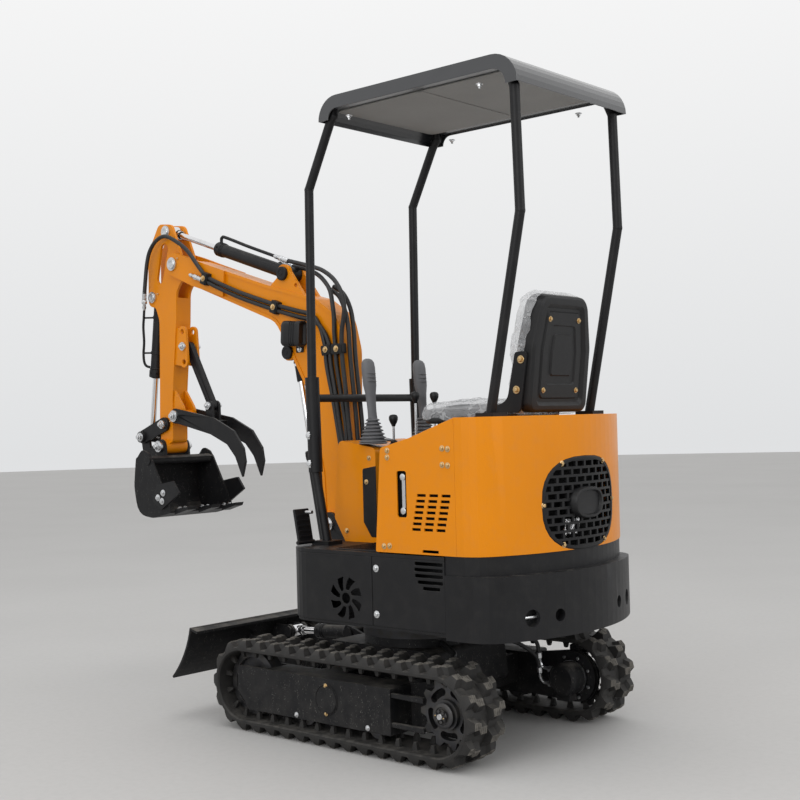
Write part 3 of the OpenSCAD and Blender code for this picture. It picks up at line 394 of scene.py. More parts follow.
@surface(Specular_IOR_Level=0.5, Coat_Weight=0.1, Coat_Roughness=0.3)
def seat_vinyl(f, paint):
    """Black grained vinyl."""
    creases = f.cells(260, feature="DISTANCE_TO_EDGE")
    f.feed("Base Color", f.mix(f.grain(14, 4), (0.010, 0.010, 0.011, 1), (0.026, 0.026, 0.028, 1)))
    f.feed("Roughness", 0.36 + f.grain(50, 3) * 0.16)
    f.bump(creases.ramp(0.0, 0.35) + f.grain(60, 3) * 0.6, 0.0006, 0.6)


@surface(Roughness=0.14, Specular_IOR_Level=0.9, IOR=1.45)
def clear_film(f, paint):
    """Thin crumpled protective film: mostly clear, with paler folds that are partly whitened creases and partly
    painted highlights.
    """
    folds = f.grain(13, 3, 0.5, stretch=(1.0, 1.7, 1.0)) - 0.5
    fine = f.grain(48, 3, 0.5, stretch=(1.5, 1.0, 1.0)) - 0.5
    crease = 1 - (folds * folds).ramp(0.0, 0.0010)
    wrinkle = 1 - (fine * fine).ramp(0.0, 0.0008)
    # Paler and more opaque along the folds and over broad patches: partly the film's own whitening at its
    # creases, partly painted highlights of its sheen.
    bright = crease * 0.26 + wrinkle * 0.10 + (folds + 0.5).ramp(0.30, 0.80) * 0.30
    f.feed("Base Color", f.mix(bright, (0.74, 0.75, 0.77, 1), (0.96, 0.96, 0.97, 1)))
    f.feed("Alpha", 0.26 + bright * 0.55)
    f.bump(crease + wrinkle * 0.6, 0.004, 0.8)


@surface(Coat_Weight=0.75, Coat_Roughness=0.16, Specular_IOR_Level=0.6)
def roof_paint(f, paint):
    """Black powder coat of the roof, lifted to a lighter bluish grey as a painted sheen of the sky; glossier
    than the other black, so its rolled edges catch the sky.
    """
    dust = (f.upward() * 0.12 + 0.02) * f.grain(16, 5).ramp(0.30, 0.80)
    # Painted sky sheen: the roof's own black is lightened and tinted blue here.
    sky_sheen_slate = f.mix(f.grain(5, 3), (0.013, 0.0142, 0.0170, 1), (0.021, 0.0226, 0.0265, 1))
    f.feed("Base Color", f.mix(dust, sky_sheen_slate, paint.dust))
    f.feed("Roughness", 0.26 + dust * 0.4 + f.grain(45, 3) * 0.10)
    f.bump(f.grain(600, 2), 0.0002, 0.5)


@surface(Specular_IOR_Level=0.3)
def roof_lining(f, paint):
    """Pale grey board under the roof."""
    f.feed("Base Color", f.mix(f.grain(5, 4), (0.23, 0.225, 0.215, 1), (0.30, 0.295, 0.285, 1)))
    f.feed("Roughness", 0.6 + f.grain(80, 3) * 0.2)
    f.bump(f.grain(300, 3), 0.0003, 0.4)


@surface(Coat_Weight=1.0, Coat_Roughness=0.03)
def lamp_glass(f, paint):
    """Clear moulded lens with a reeded pattern, coloured pale grey with light and dark reed stripes as a
    painted reflection of the bright reflectors behind it.
    """
    reeds = f.node(
        "ShaderNodeTexWave", {"bands_direction": "Y"}, {"Vector": f.place(), "Scale": 60.0}, output="Fac")
    # Painted reflection: the pale grey, striped by the reeds, stands in for the reflectors shining through the
    # lens.
    f.feed("Base Color", f.mix(reeds, (0.46, 0.48, 0.50, 1), (0.80, 0.82, 0.84, 1)))
    f.feed("Roughness", 0.08 + reeds * 0.1)
    f.bump(reeds, 0.001, 0.6)


@surface(Specular_IOR_Level=0.15)
def deep_shadow(f, paint):
    """Dull black of the spaces behind vents and grilles."""
    f.feed("Base Color", f.mix(f.grain(20, 3), (0.004, 0.004, 0.004, 1), (0.009, 0.009, 0.009, 1)))
    f.feed("Roughness", 0.8 + f.grain(50, 2) * 0.15)


@surface(Metallic=1.0)
def brass_bolt(f, paint):
    """Yellow passivated bolt."""
    plated(f, (0.66, 0.47, 0.24, 1), 0.28)


@surface(Specular_IOR_Level=0.5)
def red_cap(f, paint):
    """Red plastic cap of a spare port."""
    f.feed("Base Color", f.mix(f.grain(60, 3), (0.42, 0.012, 0.010, 1), (0.55, 0.022, 0.016, 1)))
    f.feed("Roughness", 0.35 + f.grain(120, 2) * 0.15)


@surface(Metallic=1.0)
def zinc_steel(f, paint):
    """Bright zinc plating."""
    plated(f, (0.66, 0.67, 0.68, 1), 0.24)


def finish(name):
    """The material of that name, made once."""
    if name not in MADE:
        lay_on, constants = FINISHES[name]
        f = Finish(name, **constants)
        lay_on(f, bpy.context.scene.excavator_paint)
        MADE[name] = f.material
    return MADE[name]


# Mesh making


def smooth_path(points, steps=10):
    """A Catmull-Rom curve through the points."""
    p = [Vector(q) for q in points]
    p = [2 * p[0] - p[1], *p, 2 * p[-1] - p[-2]]
    path = []
    for a, b, c, d in zip(p, p[1:], p[2:], p[3:]):
        for i in range(steps):
            t = i / steps
            path.append(0.5 * (
                2 * b + (c - a) * t + (2 * a - 5 * b + 4 * c - d) * t * t + (3 * b - a - 3 * c + d) * t ** 3))
    return [*path, p[-2]]


class Shape:
    """Vertices and faces of one piece, gathered from simple forms."""

    def __init__(self):
        self.points = []
        self.faces = []
        self.slots = []
        self.finishes = []

    def _faces(self, finish_name, faces):
        if finish_name not in self.finishes:
            self.finishes.append(finish_name)
        self.faces += faces
        self.slots += [self.finishes.index(finish_name)] * len(faces)

    def rings(self, finish_name, rings, closed=False, caps=True):
        """Skins a list of rings that all have the same number of points."""
        base = len(self.points)
        count = len(rings[0])
        for ring in rings:
            self.points += [tuple(p) for p in ring]
        faces = []
        last = len(rings) if closed else len(rings) - 1
        for i in range(last):
            a, b = base + i * count, base + (i + 1) % len(rings) * count
            faces += [(a + k, a + (k + 1) % count, b + (k + 1) % count, b + k) for k in range(count)]
        if caps and not closed:
            faces.append(tuple(base + k for k in reversed(range(count))))
            faces.append(tuple(base + (len(rings) - 1) * count + k for k in range(count)))
        self._faces(finish_name, faces)

    def turned(self, finish_name, profile, at, axis, sides=20, start=0.0, closed=False):
        """Turns a profile of (distance along the axis, radius) about an axis; a closed one makes a ring."""
        out, side, up = basis(axis)
        at = Vector(at)
        turn = [start + 2 * math.pi * k / sides for k in range(sides)]
        self.rings(finish_name, [
            [at + out * d + (side * math.cos(t) + up * math.sin(t)) * r for t in turn]
            for d, r in profile], closed)

    def tube(self, finish_name, path, radius, sides=12):
        """Sweeps a round section along a path."""
        path = [Vector(p) for p in path]
        side = basis(path[1] - path[0])[1]
        rings = []
        for i, p in enumerate(path):
            ahead = (path[min(i + 1, len(path) - 1)] - path[max(i - 1, 0)]).normalized()
            side = (side - ahead * side.dot(ahead)).normalized()
            up = ahead.cross(side)
            rings.append([
                p + (side * math.cos(t) + up * math.sin(t)) * radius
                for t in (2 * math.pi * k / sides for k in range(sides))])
        self.rings(finish_name, rings)

    def plate(self, finish_name, outline, y0, y1, edge=0.0015):
        """A plate with an outline in the x-z plane, from y0 to y1, with eased edges."""
        inner = shrink(outline, edge)
        layers = [(y0, inner), (y0 + edge, outline), (y1 - edge, outline), (y1, inner)]
        self.rings(finish_name, [[(x, y, z) for x, z in ring] for y, ring in layers])

    def block(self, finish_name, low, high, edge=0.0015):
        """A box between two corners with eased edges."""
        (x0, y0, z0), (x1, y1, z1) = low, high
        self.plate(finish_name, [(x0, z0), (x1, z0), (x1, z1), (x0, z1)], y0, y1, edge)

    def slab(self, finish_name, outline, spot, depths, edge=0.001):
        """A flat pad on an outline: spot(u, v, depth) places it at three depths, with the last one eased."""
        layers = zip(depths, (outline, outline, shrink(outline, edge)))
        self.rings(finish_name, [[spot(u, v, depth) for u, v in ring] for depth, ring in layers])

    def bolt(self, finish_name, at, axis, size=0.012, washer=True):
        """A flanged hexagon bolt head, as wide over its flats as size."""
        out = Vector(axis).normalized()
        at = Vector(at)
        if washer:
            flange = [(0, size * 0.92), (size * 0.13, size * 0.92), (size * 0.16, size * 0.86)]
            self.turned(finish_name, flange, at, out)
        lift = at + out * size * (0.15 if washer else 0)
        r = size * 0.577
        head = [(0, r), (size * 0.42, r), (size * 0.52, r * 0.80), (size * 0.53, r * 0.30)]
        self.turned(finish_name, head, lift, out, sides=6, start=0.4)

    def nut_stack(self, at, axis, radius):
        """Washer, nut and stud end on a pin."""
        at = Vector(at)
        out = Vector(axis).normalized()
        washer = [(0, radius * 0.98), (0, radius), (radius * 0.10, radius), (radius * 0.13, radius * 0.95)]
        self.turned("zinc_steel", washer, at, out, 28)
        nut = [(0, radius * 0.80), (radius * 0.42, radius * 0.80), (radius * 0.50, radius * 0.68)]
        self.turned("zinc_steel", nut, at + out * radius * 0.13, out, sides=6, start=0.3)
        stud = [(0, radius * 0.5), (radius * 0.30, radius * 0.5), (radius * 0.36, radius * 0.40)]
        self.turned("zinc_steel", stud, at + out * radius * 0.60, out, 16)

    def object(self, name, body, replaced=(), angle=40.0):
        """Makes the piece and lets it ride on a body."""
        mesh = bpy.data.meshes.new(name)
        mesh.from_pydata(self.points, [], self.faces)
        mesh.polygons.foreach_set("material_index", self.slots)
        for finish_name in self.finishes:
            mesh.materials.append(finish(finish_name))
        mesh.validate()
        mesh.shade_smooth()
        mesh.set_sharp_from_angle(angle=math.radians(angle))
        piece = bpy.data.objects.new(name, mesh)
        bpy.context.scene.collection.objects.link(piece)
        if isinstance(body, str):
            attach(piece, body)
        if replaced:
            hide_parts(*replaced)
        return piece


def basis(axis):
    """The unit axis and two directions square to it."""
    out = Vector(axis).normalized()
    side = out.orthogonal().normalized() if abs(out.z) > 0.9 else out.cross(Vector((0, 0, 1))).normalized()
    return out, side, out.cross(side)


def shrink(outline, gap):
    """A plane outline moved inwards by a small gap."""
    count = len(outline)
    area = sum(outline[i - 1][0] * outline[i][1] - outline[i][0] * outline[i - 1][1] for i in range(count))
    sign = 1 if area > 0 else -1
    moved = []
    for i in range(count):
        a, p, b = (Vector(outline[(i + k) % count]) for k in (-1, 0, 1))
        u, v = (p - a).normalized(), (b - p).normalized()
        normal = (Vector((-u.y, u.x)) + Vector((-v.y, v.x))) * sign
        length = max(normal.length_squared / 2, 0.35)
        moved.append(tuple(p + normal * gap / length))
    return moved


def rounded(corners, steps=5):
    """A plane outline of (u, v, radius) corners with its corners rounded."""
    count = len(corners)
    outline = []
    for i, (u, v, radius) in enumerate(corners):
        p = Vector((u, v))
        a = (Vector(corners[i - 1][:2]) - p).normalized()
        b = (Vector(corners[(i + 1) % count][:2]) - p).normalized()
        half = math.acos(max(-1, min(1, a.dot(b)))) / 2
        if radius == 0 or half > 1.56:
            outline.append((u, v))
            continue
        centre = p + (a + b).normalized() * radius / math.sin(half)
        first = p + a * radius / math.tan(half) - centre
        last = p + b * radius / math.tan(half) - centre
        swing = first.angle_signed(last)
        for k in range(steps + 1):
            turn = -swing * k / steps
            c, s = math.cos(turn), math.sin(turn)
            outline.append((
                centre.x + c * first.x - s * first.y, centre.y + s * first.x + c * first.y))
    return outline


def rounded_box(low, high, radius, steps=5):
    """A plane rectangle between two corners, with equal rounded corners."""
    (u0, v0), (u1, v1) = low, high
    return rounded([(u0, v0, radius), (u1, v0, radius), (u1, v1, radius), (u0, v1, radius)], steps)


def level(x, y, z):
    """A point of a slab that lies flat, for Shape.slab."""
    return x, y, z


# Operators


NODE_FINISH = {
    "worn_black": (
        "chassis_frame", "track_frame_left", "track_frame_right", "travel_motors", "blade", "blade_barrel",
        "bucket"),
    "dark_steel": ("slew_bearing", "sprockets", "track_rollers"),
    "black_paint": (
        "deck", "skirt", "counterweight", "rear_grille", "boom_bracket", "seat_base", "seat_brackets",
        "canopy_frame", "boom_barrel", "arm_barrel", "bucket_barrel", "thumb", "thumb_strut", "rocker",
        "bucket_link", "bucket_teeth", "work_lamp"),
    "roof_paint": ("canopy_roof",),
    "yellow_paint": (
        "engine_hood", "side_panel_left", "side_panel_right", "control_console", "boom", "arm"),
    "chrome_rod": ("blade_rod", "boom_rod", "arm_rod", "bucket_rod"),
    "zinc_steel": ("bracket_pins", "boom_pins", "arm_pins"),
    "deep_shadow": ("engine_block",),
    "grey_rubber": ("joysticks",),
    "black_plastic": ("control_levers",),
    "hose_rubber": ("boom_hoses",),
    "seat_vinyl": ("seat_cushion", "seat_back"),
    "track_rubber": ("track_left", "track_right"),
}


# Edge radius of the solids that are cast, welded or pressed
EASED = {
    0.0030: (
        "counterweight", "boom", "arm", "control_console", "thumb", "rocker", "bucket_link", "bucket_teeth"),
    0.0020: (
        "engine_hood", "skirt", "deck", "blade", "bucket", "boom_bracket", "chassis_frame", "track_frame_left",
        "track_frame_right", "seat_base", "thumb_strut"),
    0.0010: ("side_panel_left", "side_panel_right", "canopy_roof", "seat_brackets", "sprockets"),
}


class EXCAVATOR_OT_finish_nodes(bpy.types.Operator):
    """Gives every carried-over solid its finish, and eases the edges of castings and plates"""

    bl_idname = "excavator.finish_nodes"
    bl_label = "Finish the solids"

    WELD_GAP = 0.00002
    EASE_ANGLE = math.radians(35)

    def execute(self, context):
        for finish_name, nodes in NODE_FINISH.items():
            for node in nodes:
                mesh = frame["nodes"][node].data
                mesh.materials.clear()
                mesh.materials.append(finish(finish_name))
        for radius, nodes in EASED.items():
            for node in nodes:
                self.ease(frame["nodes"][node], radius)
        return {"FINISHED"}

    def ease(self, solid, radius):
        weld = solid.modifiers.new("weld", "WELD")
        weld.merge_threshold = self.WELD_GAP
        bevel = solid.modifiers.new("ease", "BEVEL")
        bevel.width = radius
        bevel.segments = 2
        bevel.limit_method = "ANGLE"
        bevel.angle_limit = self.EASE_ANGLE


class EXCAVATOR_OT_tracks(bpy.types.Operator):
    """Moulds both rubber tracks with stepped lugs and guide teeth"""

    bl_idname = "excavator.tracks"
    bl_label = "Tracks"

    LUG_STEP = 0.007
    LUG_SKEW = 0.005
    # Half lengths of a lug along the track at its foot and its top, in parts of the pitch
    LUG_FOOT = 0.36
    LUG_TIP = 0.135
    RIBS = 6
    RIB_HALF = 0.0028
    RIB_INSET = 0.002
    BELT_STEPS = 288
    TOOTH_HEIGHT = 0.025
    TOOTH_PLACE = (0.037, 0.053)

    def loop(self, s, depth):
        """A point of the loop: s in metres along the belt's outer face, depth outwards from it."""
        base, r = self.base, self.belt_r
        bend = math.pi * r
        s %= 2 * base + 2 * bend
        if s < base:
            return -base / 2 + s, self.axle_z - r - depth
        if s < base + bend:
            t = -math.pi / 2 + (s - base) / r
            return base / 2 + (r + depth) * math.cos(t), self.axle_z + (r + depth) * math.sin(t)
        if s < 2 * base + bend:
            return base / 2 - (s - base - bend), self.axle_z + r + depth
        t = math.pi / 2 + (s - 2 * base - bend) / r
        return -base / 2 + (r + depth) * math.cos(t), self.axle_z + (r + depth) * math.sin(t)

    def spot(self, s, y, depth):
        x, z = self.loop(s, depth)
        return x, self.middle + y, z

    def lug(self, shape, s, inner, outer, step):
        """One lug: its outer half stands a little ahead of its inner half, and ribs cross its top."""
        half = (inner + outer) / 2
        out = math.copysign(1, outer)
        pitch = self.length / self.count
        foot, tip = pitch * self.LUG_FOOT, pitch * self.LUG_TIP

        def ring(depth, along, inset, end):
            line = [
                (inner + out * inset, step), (half - out * self.LUG_SKEW, step),
                (half + out * self.LUG_SKEW, -step), (outer - out * end, -step)]
            front = [(s + shift + along, y) for y, shift in line]
            rear = [(s + shift - along, y) for y, shift in reversed(line)]
            points = [self.spot(q, y, depth) for q, y in front + rear]
            return points if outer < 0 else points[::-1]

        top = self.height
        shape.rings("track_rubber", [
            ring(-self.thick * 0.30, foot, 0.0, 0.0), ring(0.001, foot * 0.92, 0.001, 0.001),
            ring(top * 0.55, tip * 1.45, 0.003, 0.006), ring(top - 0.0035, tip * 1.02, 0.005, 0.012)])
        # The top pad and the ribs take the lug-top finish: dried dust plus a painted highlight of the light
        # from above.
        shape.rings("lug_top_dust_and_highlight", [
            ring(top - 0.0036, tip * 1.02, 0.005, 0.012), ring(top - 0.002, tip, 0.0055, 0.0125),
            ring(top - 0.0014, tip - 0.0012, 0.0065, 0.0135)])
        reach = tip - self.RIB_INSET
        for i in range(self.RIBS):
            y = inner + (outer - inner) * (0.12 + 0.70 * (i + 0.5) / self.RIBS)
            shift = step if abs(y) < abs(half) else -step
            corners = [
                (s + shift + a * reach, y + b * self.RIB_HALF) for a, b in ((-1, -1), (1, -1), (1, 1), (-1, 1))]
            rib = [[self.spot(q, w, depth) for q, w in corners] for depth in (top - 0.002, top)]
            shape.rings("lug_top_dust_and_highlight", rib)

    def belt(self, shape, width):
        """The belt itself, with eased edges and a shallow groove along its middle."""
        half, t, g = width / 2, self.thick, self.groove / 2
        section = [
            (-half, -t * 0.75), (-half, -t * 0.22), (-half + 0.004, 0), (-g - 0.003, 0), (-g, -0.004),
            (g, -0.004), (g + 0.003, 0), (half - 0.004, 0), (half, -t * 0.22), (half, -t * 0.75),
            (half - 0.006, -t), (-half + 0.006, -t)]
        shape.rings("track_rubber", [
            [self.spot(self.length * i / self.BELT_STEPS, y, d) for y, d in section]
            for i in range(self.BELT_STEPS)], closed=True)

    def tooth(self, shape, s, inner, outer):
        """A tapered guide tooth on the belt's inside."""
        deep = -self.thick

        def ring(depth, along, inset):
            y0, y1 = inner + inset, outer - inset
            return [self.spot(q, y, depth) for q, y in (
                (s - along, y0), (s + along, y0), (s + along, y1), (s - along, y1))]

        shape.rings("track_rubber", [
            ring(deep + 0.002, 0.011, 0), ring(deep - self.TOOTH_HEIGHT + 0.002, 0.006, 0.003),
            ring(deep - self.TOOTH_HEIGHT, 0.004, 0.005)])

    def execute(self, context):
        sizes = context.scene.excavator_track
        self.base = sizes.wheel_base
        self.count = sizes.lug_count
        self.height = sizes.lug_height
        self.thick = sizes.belt
        self.groove = sizes.groove
        for side in ("left", "right"):
            node = f"track_{side}"
            low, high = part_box(node)
            self.middle = (low[1] + high[1]) / 2
            self.axle_z = (low[2] + high[2]) / 2
            self.belt_r = self.axle_z - low[2] - self.height
            self.length = 2 * self.base + 2 * math.pi * self.belt_r
            half = (high[1] - low[1]) / 2
            shape = Shape()
            self.belt(shape, 2 * half)
            pitch = self.length / self.count
            for i in range(self.count):
                self.lug(shape, (i + 0.25) * pitch, self.groove / 2, half, self.LUG_STEP)
                self.lug(shape, (i + 0.75) * pitch, -self.groove / 2, -half, self.LUG_STEP)
                for y0, y1 in (self.TOOTH_PLACE, (-self.TOOTH_PLACE[1], -self.TOOTH_PLACE[0])):
                    self.tooth(shape, (i + 0.5) * pitch, y0, y1)
            piece = shape.object(f"moulded_{node}", "undercarriage", [node], angle=24)
        return {"FINISHED"}


class EXCAVATOR_OT_seat(bpy.types.Operator):
    """Upholsters the seat, with its moulded back shell, and lays the clear film over it"""

    bl_idname = "excavator.seat"
    bl_label = "Seat"

    BACK_FOOT = (-0.545, 1.100)
    BACK_LEAN = math.radians(6.8)
    # Outline of the backrest: left and up along it, and the corner's radius
    BACK = (
        (-0.168, 0, 0.034), (0.168, 0, 0.034), (0.168, 0.215, 0.10), (0.131, 0.384, 0.055),
        (-0.131, 0.384, 0.055), (-0.168, 0.215, 0.10))
    # Embossed panels of the back shell: half width, low and high edge, corner radius, depth
    EMBOSS = (
        (0.132, 0.024, 0.352, 0.022, -0.073), (0.122, 0.036, 0.340, 0.020, -0.064),
        (0.112, 0.046, 0.330, 0.018, -0.064), (0.108, 0.050, 0.326, 0.016, -0.069),
        (0.082, 0.092, 0.286, 0.012, -0.069), (0.078, 0.096, 0.282, 0.011, -0.065),
        (0.060, 0.120, 0.258, 0.010, -0.065), (0.056, 0.124, 0.254, 0.009, -0.070))
    SHELL_BOLTS = ((-0.094, 0.074), (0.094, 0.074), (-0.082, 0.304), (0.082, 0.304))
    SHELL_FACE = -0.0690
    BRACKET_BOLTS = ((-0.598, 1.264), (-0.578, 1.168))
    BRACKET_FACE = 0.1783
    SEAM_Y = 0.075
    CROWN_STEPS = (0, 0.15, 0.35, 0.6, 0.85)
    # Inset and depth of the rings of the backrest's pad and of its shell's rim
    PAD = (
        (0.004, -0.040), (0, -0.036), (0, -0.016), (0.004, -0.006), (0.014, 0.000), (0.034, 0.006),
        (0.062, 0.009), (0.066, 0.005), (0.072, 0.009), (0.10, 0.011))
    RIM = ((0.010, -0.036), (0.001, -0.038), (0.001, -0.054), (0.004, -0.066), (0.012, -0.072), (0.024, -0.073))
    # The film stays this near the middle plane below this height of the backrest
    TUCK = 0.1675
    TUCK_UP = 0.19
    FILM_STEP = 0.012
    # Parts of the way from edge to middle at which the film has its rings
    INWARD = (0.06, 0.13, 0.20, 0.28, 0.36, 0.45, 0.54, 0.63, 0.72, 0.81, 0.90, 0.995)

    def back(self, depth, y, up):
        """A point of the backrest: depth forwards from its front face, y to the left, up along it."""
        c, s = math.cos(self.BACK_LEAN), math.sin(self.BACK_LEAN)
        return self.BACK_FOOT[0] + depth * c - up * s, y, self.BACK_FOOT[1] + depth * s + up * c

    def crumple(self, point, size):
        """A seeded offset for the film's folds."""
        p = Vector(point)
        return noise.noise(p * 21.0) * size + abs(noise.noise(p * 47.0)) * size * 0.7

    def cushion(self, crown):
        low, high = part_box("seat_cushion")
        outline = rounded([
            (low.x, low.y, 0.045), (high.x, low.y, 0.060), (high.x, high.y, 0.060), (low.x, high.y, 0.045)], 8)
        side = high.z - 0.016
        layers = [
            (0.014, low.z), (0.004, low.z + 0.006), (0, low.z + 0.016), (0, side - 0.008), (0.003, side)]
        layers += [(0.012 + 0.15 * t, side + 0.004 + crown * (1 - (1 - t) ** 2)) for t in self.CROWN_STEPS]
        shape = Shape()
        shape.rings("seat_vinyl", [
            [(x, y, z + self.dimple(x, y, z, side)) for x, y in shrink(outline, inset)]
            for inset, z in layers])
        piping = [(x, y, side + 0.001) for x, y in shrink(outline, 0.002)]
        shape.tube("seat_vinyl", [*piping, piping[0]], 0.0035, 6)
        for y in (-self.SEAM_Y, self.SEAM_Y):
            line = [low.x + 0.03 + (high.x - low.x - 0.06) * i / 14 for i in range(15)]
            seam = [(x, y, side + 0.0045 + crown * self.rise(x, y, low, high)) for x in line]
            shape.tube("seat_vinyl", seam, 0.0022, 6)
        piece = shape.object("cushion", "upper", ["seat_cushion"], angle=60)
        return outline, side

    def dimple(self, x, y, z, side):
        """Small unevenness of the cushion's top."""
        return 0.0015 * noise.noise((x * 14, y * 14, 1.7)) if z > side else 0

    def rise(self, x, y, low, high):
        edge = min(x - low.x, high.x - x, y - low.y, high.y - y)
        return 1 - (1 - min(max(edge - 0.012, 0) / 0.15, 1)) ** 2

    def backrest(self):
        outline = rounded(self.BACK, 8)
        pad = Shape()
        pad.rings("seat_vinyl", [
            [self.back(depth, y, up) for y, up in shrink(outline, inset)] for inset, depth in self.PAD])
        piece = pad.object("backrest_pad", "upper", ["seat_back"], angle=60)
        shell = Shape()
        rim = [(shrink(outline, inset), depth) for inset, depth in self.RIM]
        emboss = [(self.panel(*size), depth) for *size, depth in self.EMBOSS]
        shell.rings("black_plastic", [
            [self.back(depth, y, up) for y, up in ring] for ring, depth in rim + emboss])
        behind = Vector(self.back(-1, 0, 0)) - Vector(self.back(0, 0, 0))
        for y, up in self.SHELL_BOLTS:
            shell.bolt("brass_bolt", self.back(self.SHELL_FACE, y, up), behind, 0.010)
        for side in (-1, 1):
            for x, z in self.BRACKET_BOLTS:
                shell.bolt("brass_bolt", (x, side * self.BRACKET_FACE, z), (0, side, 0), 0.014)
        piece = shell.object("backrest_shell", "upper", angle=25)
        return outline

    def panel(self, half, low, high, radius):
        """An embossed panel's outline on the back shell, with as many points as the backrest's own."""
        waist = low + (high - low) * 0.55
        return rounded([
            (-half, low, radius), (half, low, radius), (half, waist, radius), (half * 0.80, high, radius),
            (-half * 0.80, high, radius), (-half, waist, radius)], 8)

    def film(self, outline, side, back_outline, gap):
        """Clear film bunched over the cushion and round the backrest's front."""
        over = Shape()
        layers = [(-0.006, side - 0.030), (-0.010, side - 0.010), (-0.002, side + 0.008)]
        top = [(t, side + 0.014 + gap + 0.014 * (1 - (1 - t) ** 2)) for t in self.INWARD]
        dense = self.dense(outline)
        rings = [[(x, y, z) for x, y in shrink(dense, inset)] for inset, z in layers]
        rings += [[(x, y, z) for x, y in self.inward(dense, t)] for t, z in top]
        over.rings("clear_film", [
            [(x, y, z + self.crumple((x, y, z), 0.011)) for x, y, z in ring] for ring in rings], caps=False)
        self.declare(over, "cushion_film", ["cushion"])
        wrap = Shape()
        layers = [(-0.004, -0.046), (-0.010, -0.030), (-0.011, -0.012), (-0.006, 0.006)]
        front = [(t, 0.014 + gap + 0.006 * t) for t in self.INWARD]
        dense = self.dense(back_outline)
        rings = [[(depth, y, up) for y, up in shrink(dense, inset)] for inset, depth in layers]
        rings += [[(depth, y, up) for y, up in self.inward(dense, t)] for t, depth in front]
        wrap.rings("clear_film", [[self.crumpled(*point) for point in ring] for ring in rings], caps=False)
        self.declare(wrap, "backrest_film", ["backrest_pad"])

    def crumpled(self, depth, y, up):
        """A point of the backrest's film with its folds."""
        folded = y + self.crumple((up, depth, y), 0.005)
        return self.back(depth + self.crumple((depth, y, up), 0.012), self.tucked(folded, up), up)

    def tucked(self, y, up):
        """Keeps the film inside the seat's brackets along the backrest's lower half."""
        return max(-self.TUCK, min(self.TUCK, y)) if up < self.TUCK_UP else y

    def dense(self, outline):
        """The outline with a point at least every film step."""
        pairs = zip(outline, outline[1:] + outline[:1])
        return [p for a, b in pairs for p in self.divide(a, b, self.FILM_STEP)]

    def inward(self, outline, part):
        """The outline drawn towards its middle by a part of the way."""
        middle = sum((Vector(p) for p in outline), Vector((0, 0))) / len(outline)
        return [tuple(Vector(p).lerp(middle, part)) for p in outline]

    def divide(self, a, b, step):
        count = max(1, round((Vector(b) - Vector(a)).length / step))
        return [tuple(Vector(a).lerp(Vector(b), i / count)) for i in range(count)]

    def declare(self, shape, name, under):
        piece = shape.object(name, "upper", angle=80)

    def execute(self, context):
        sizes = context.scene.excavator_seat
        outline, side = self.cushion(sizes.crown)
        back_outline = self.backrest()
        self.film(outline, side, back_outline, sizes.film_gap)
        return {"FINISHED"}


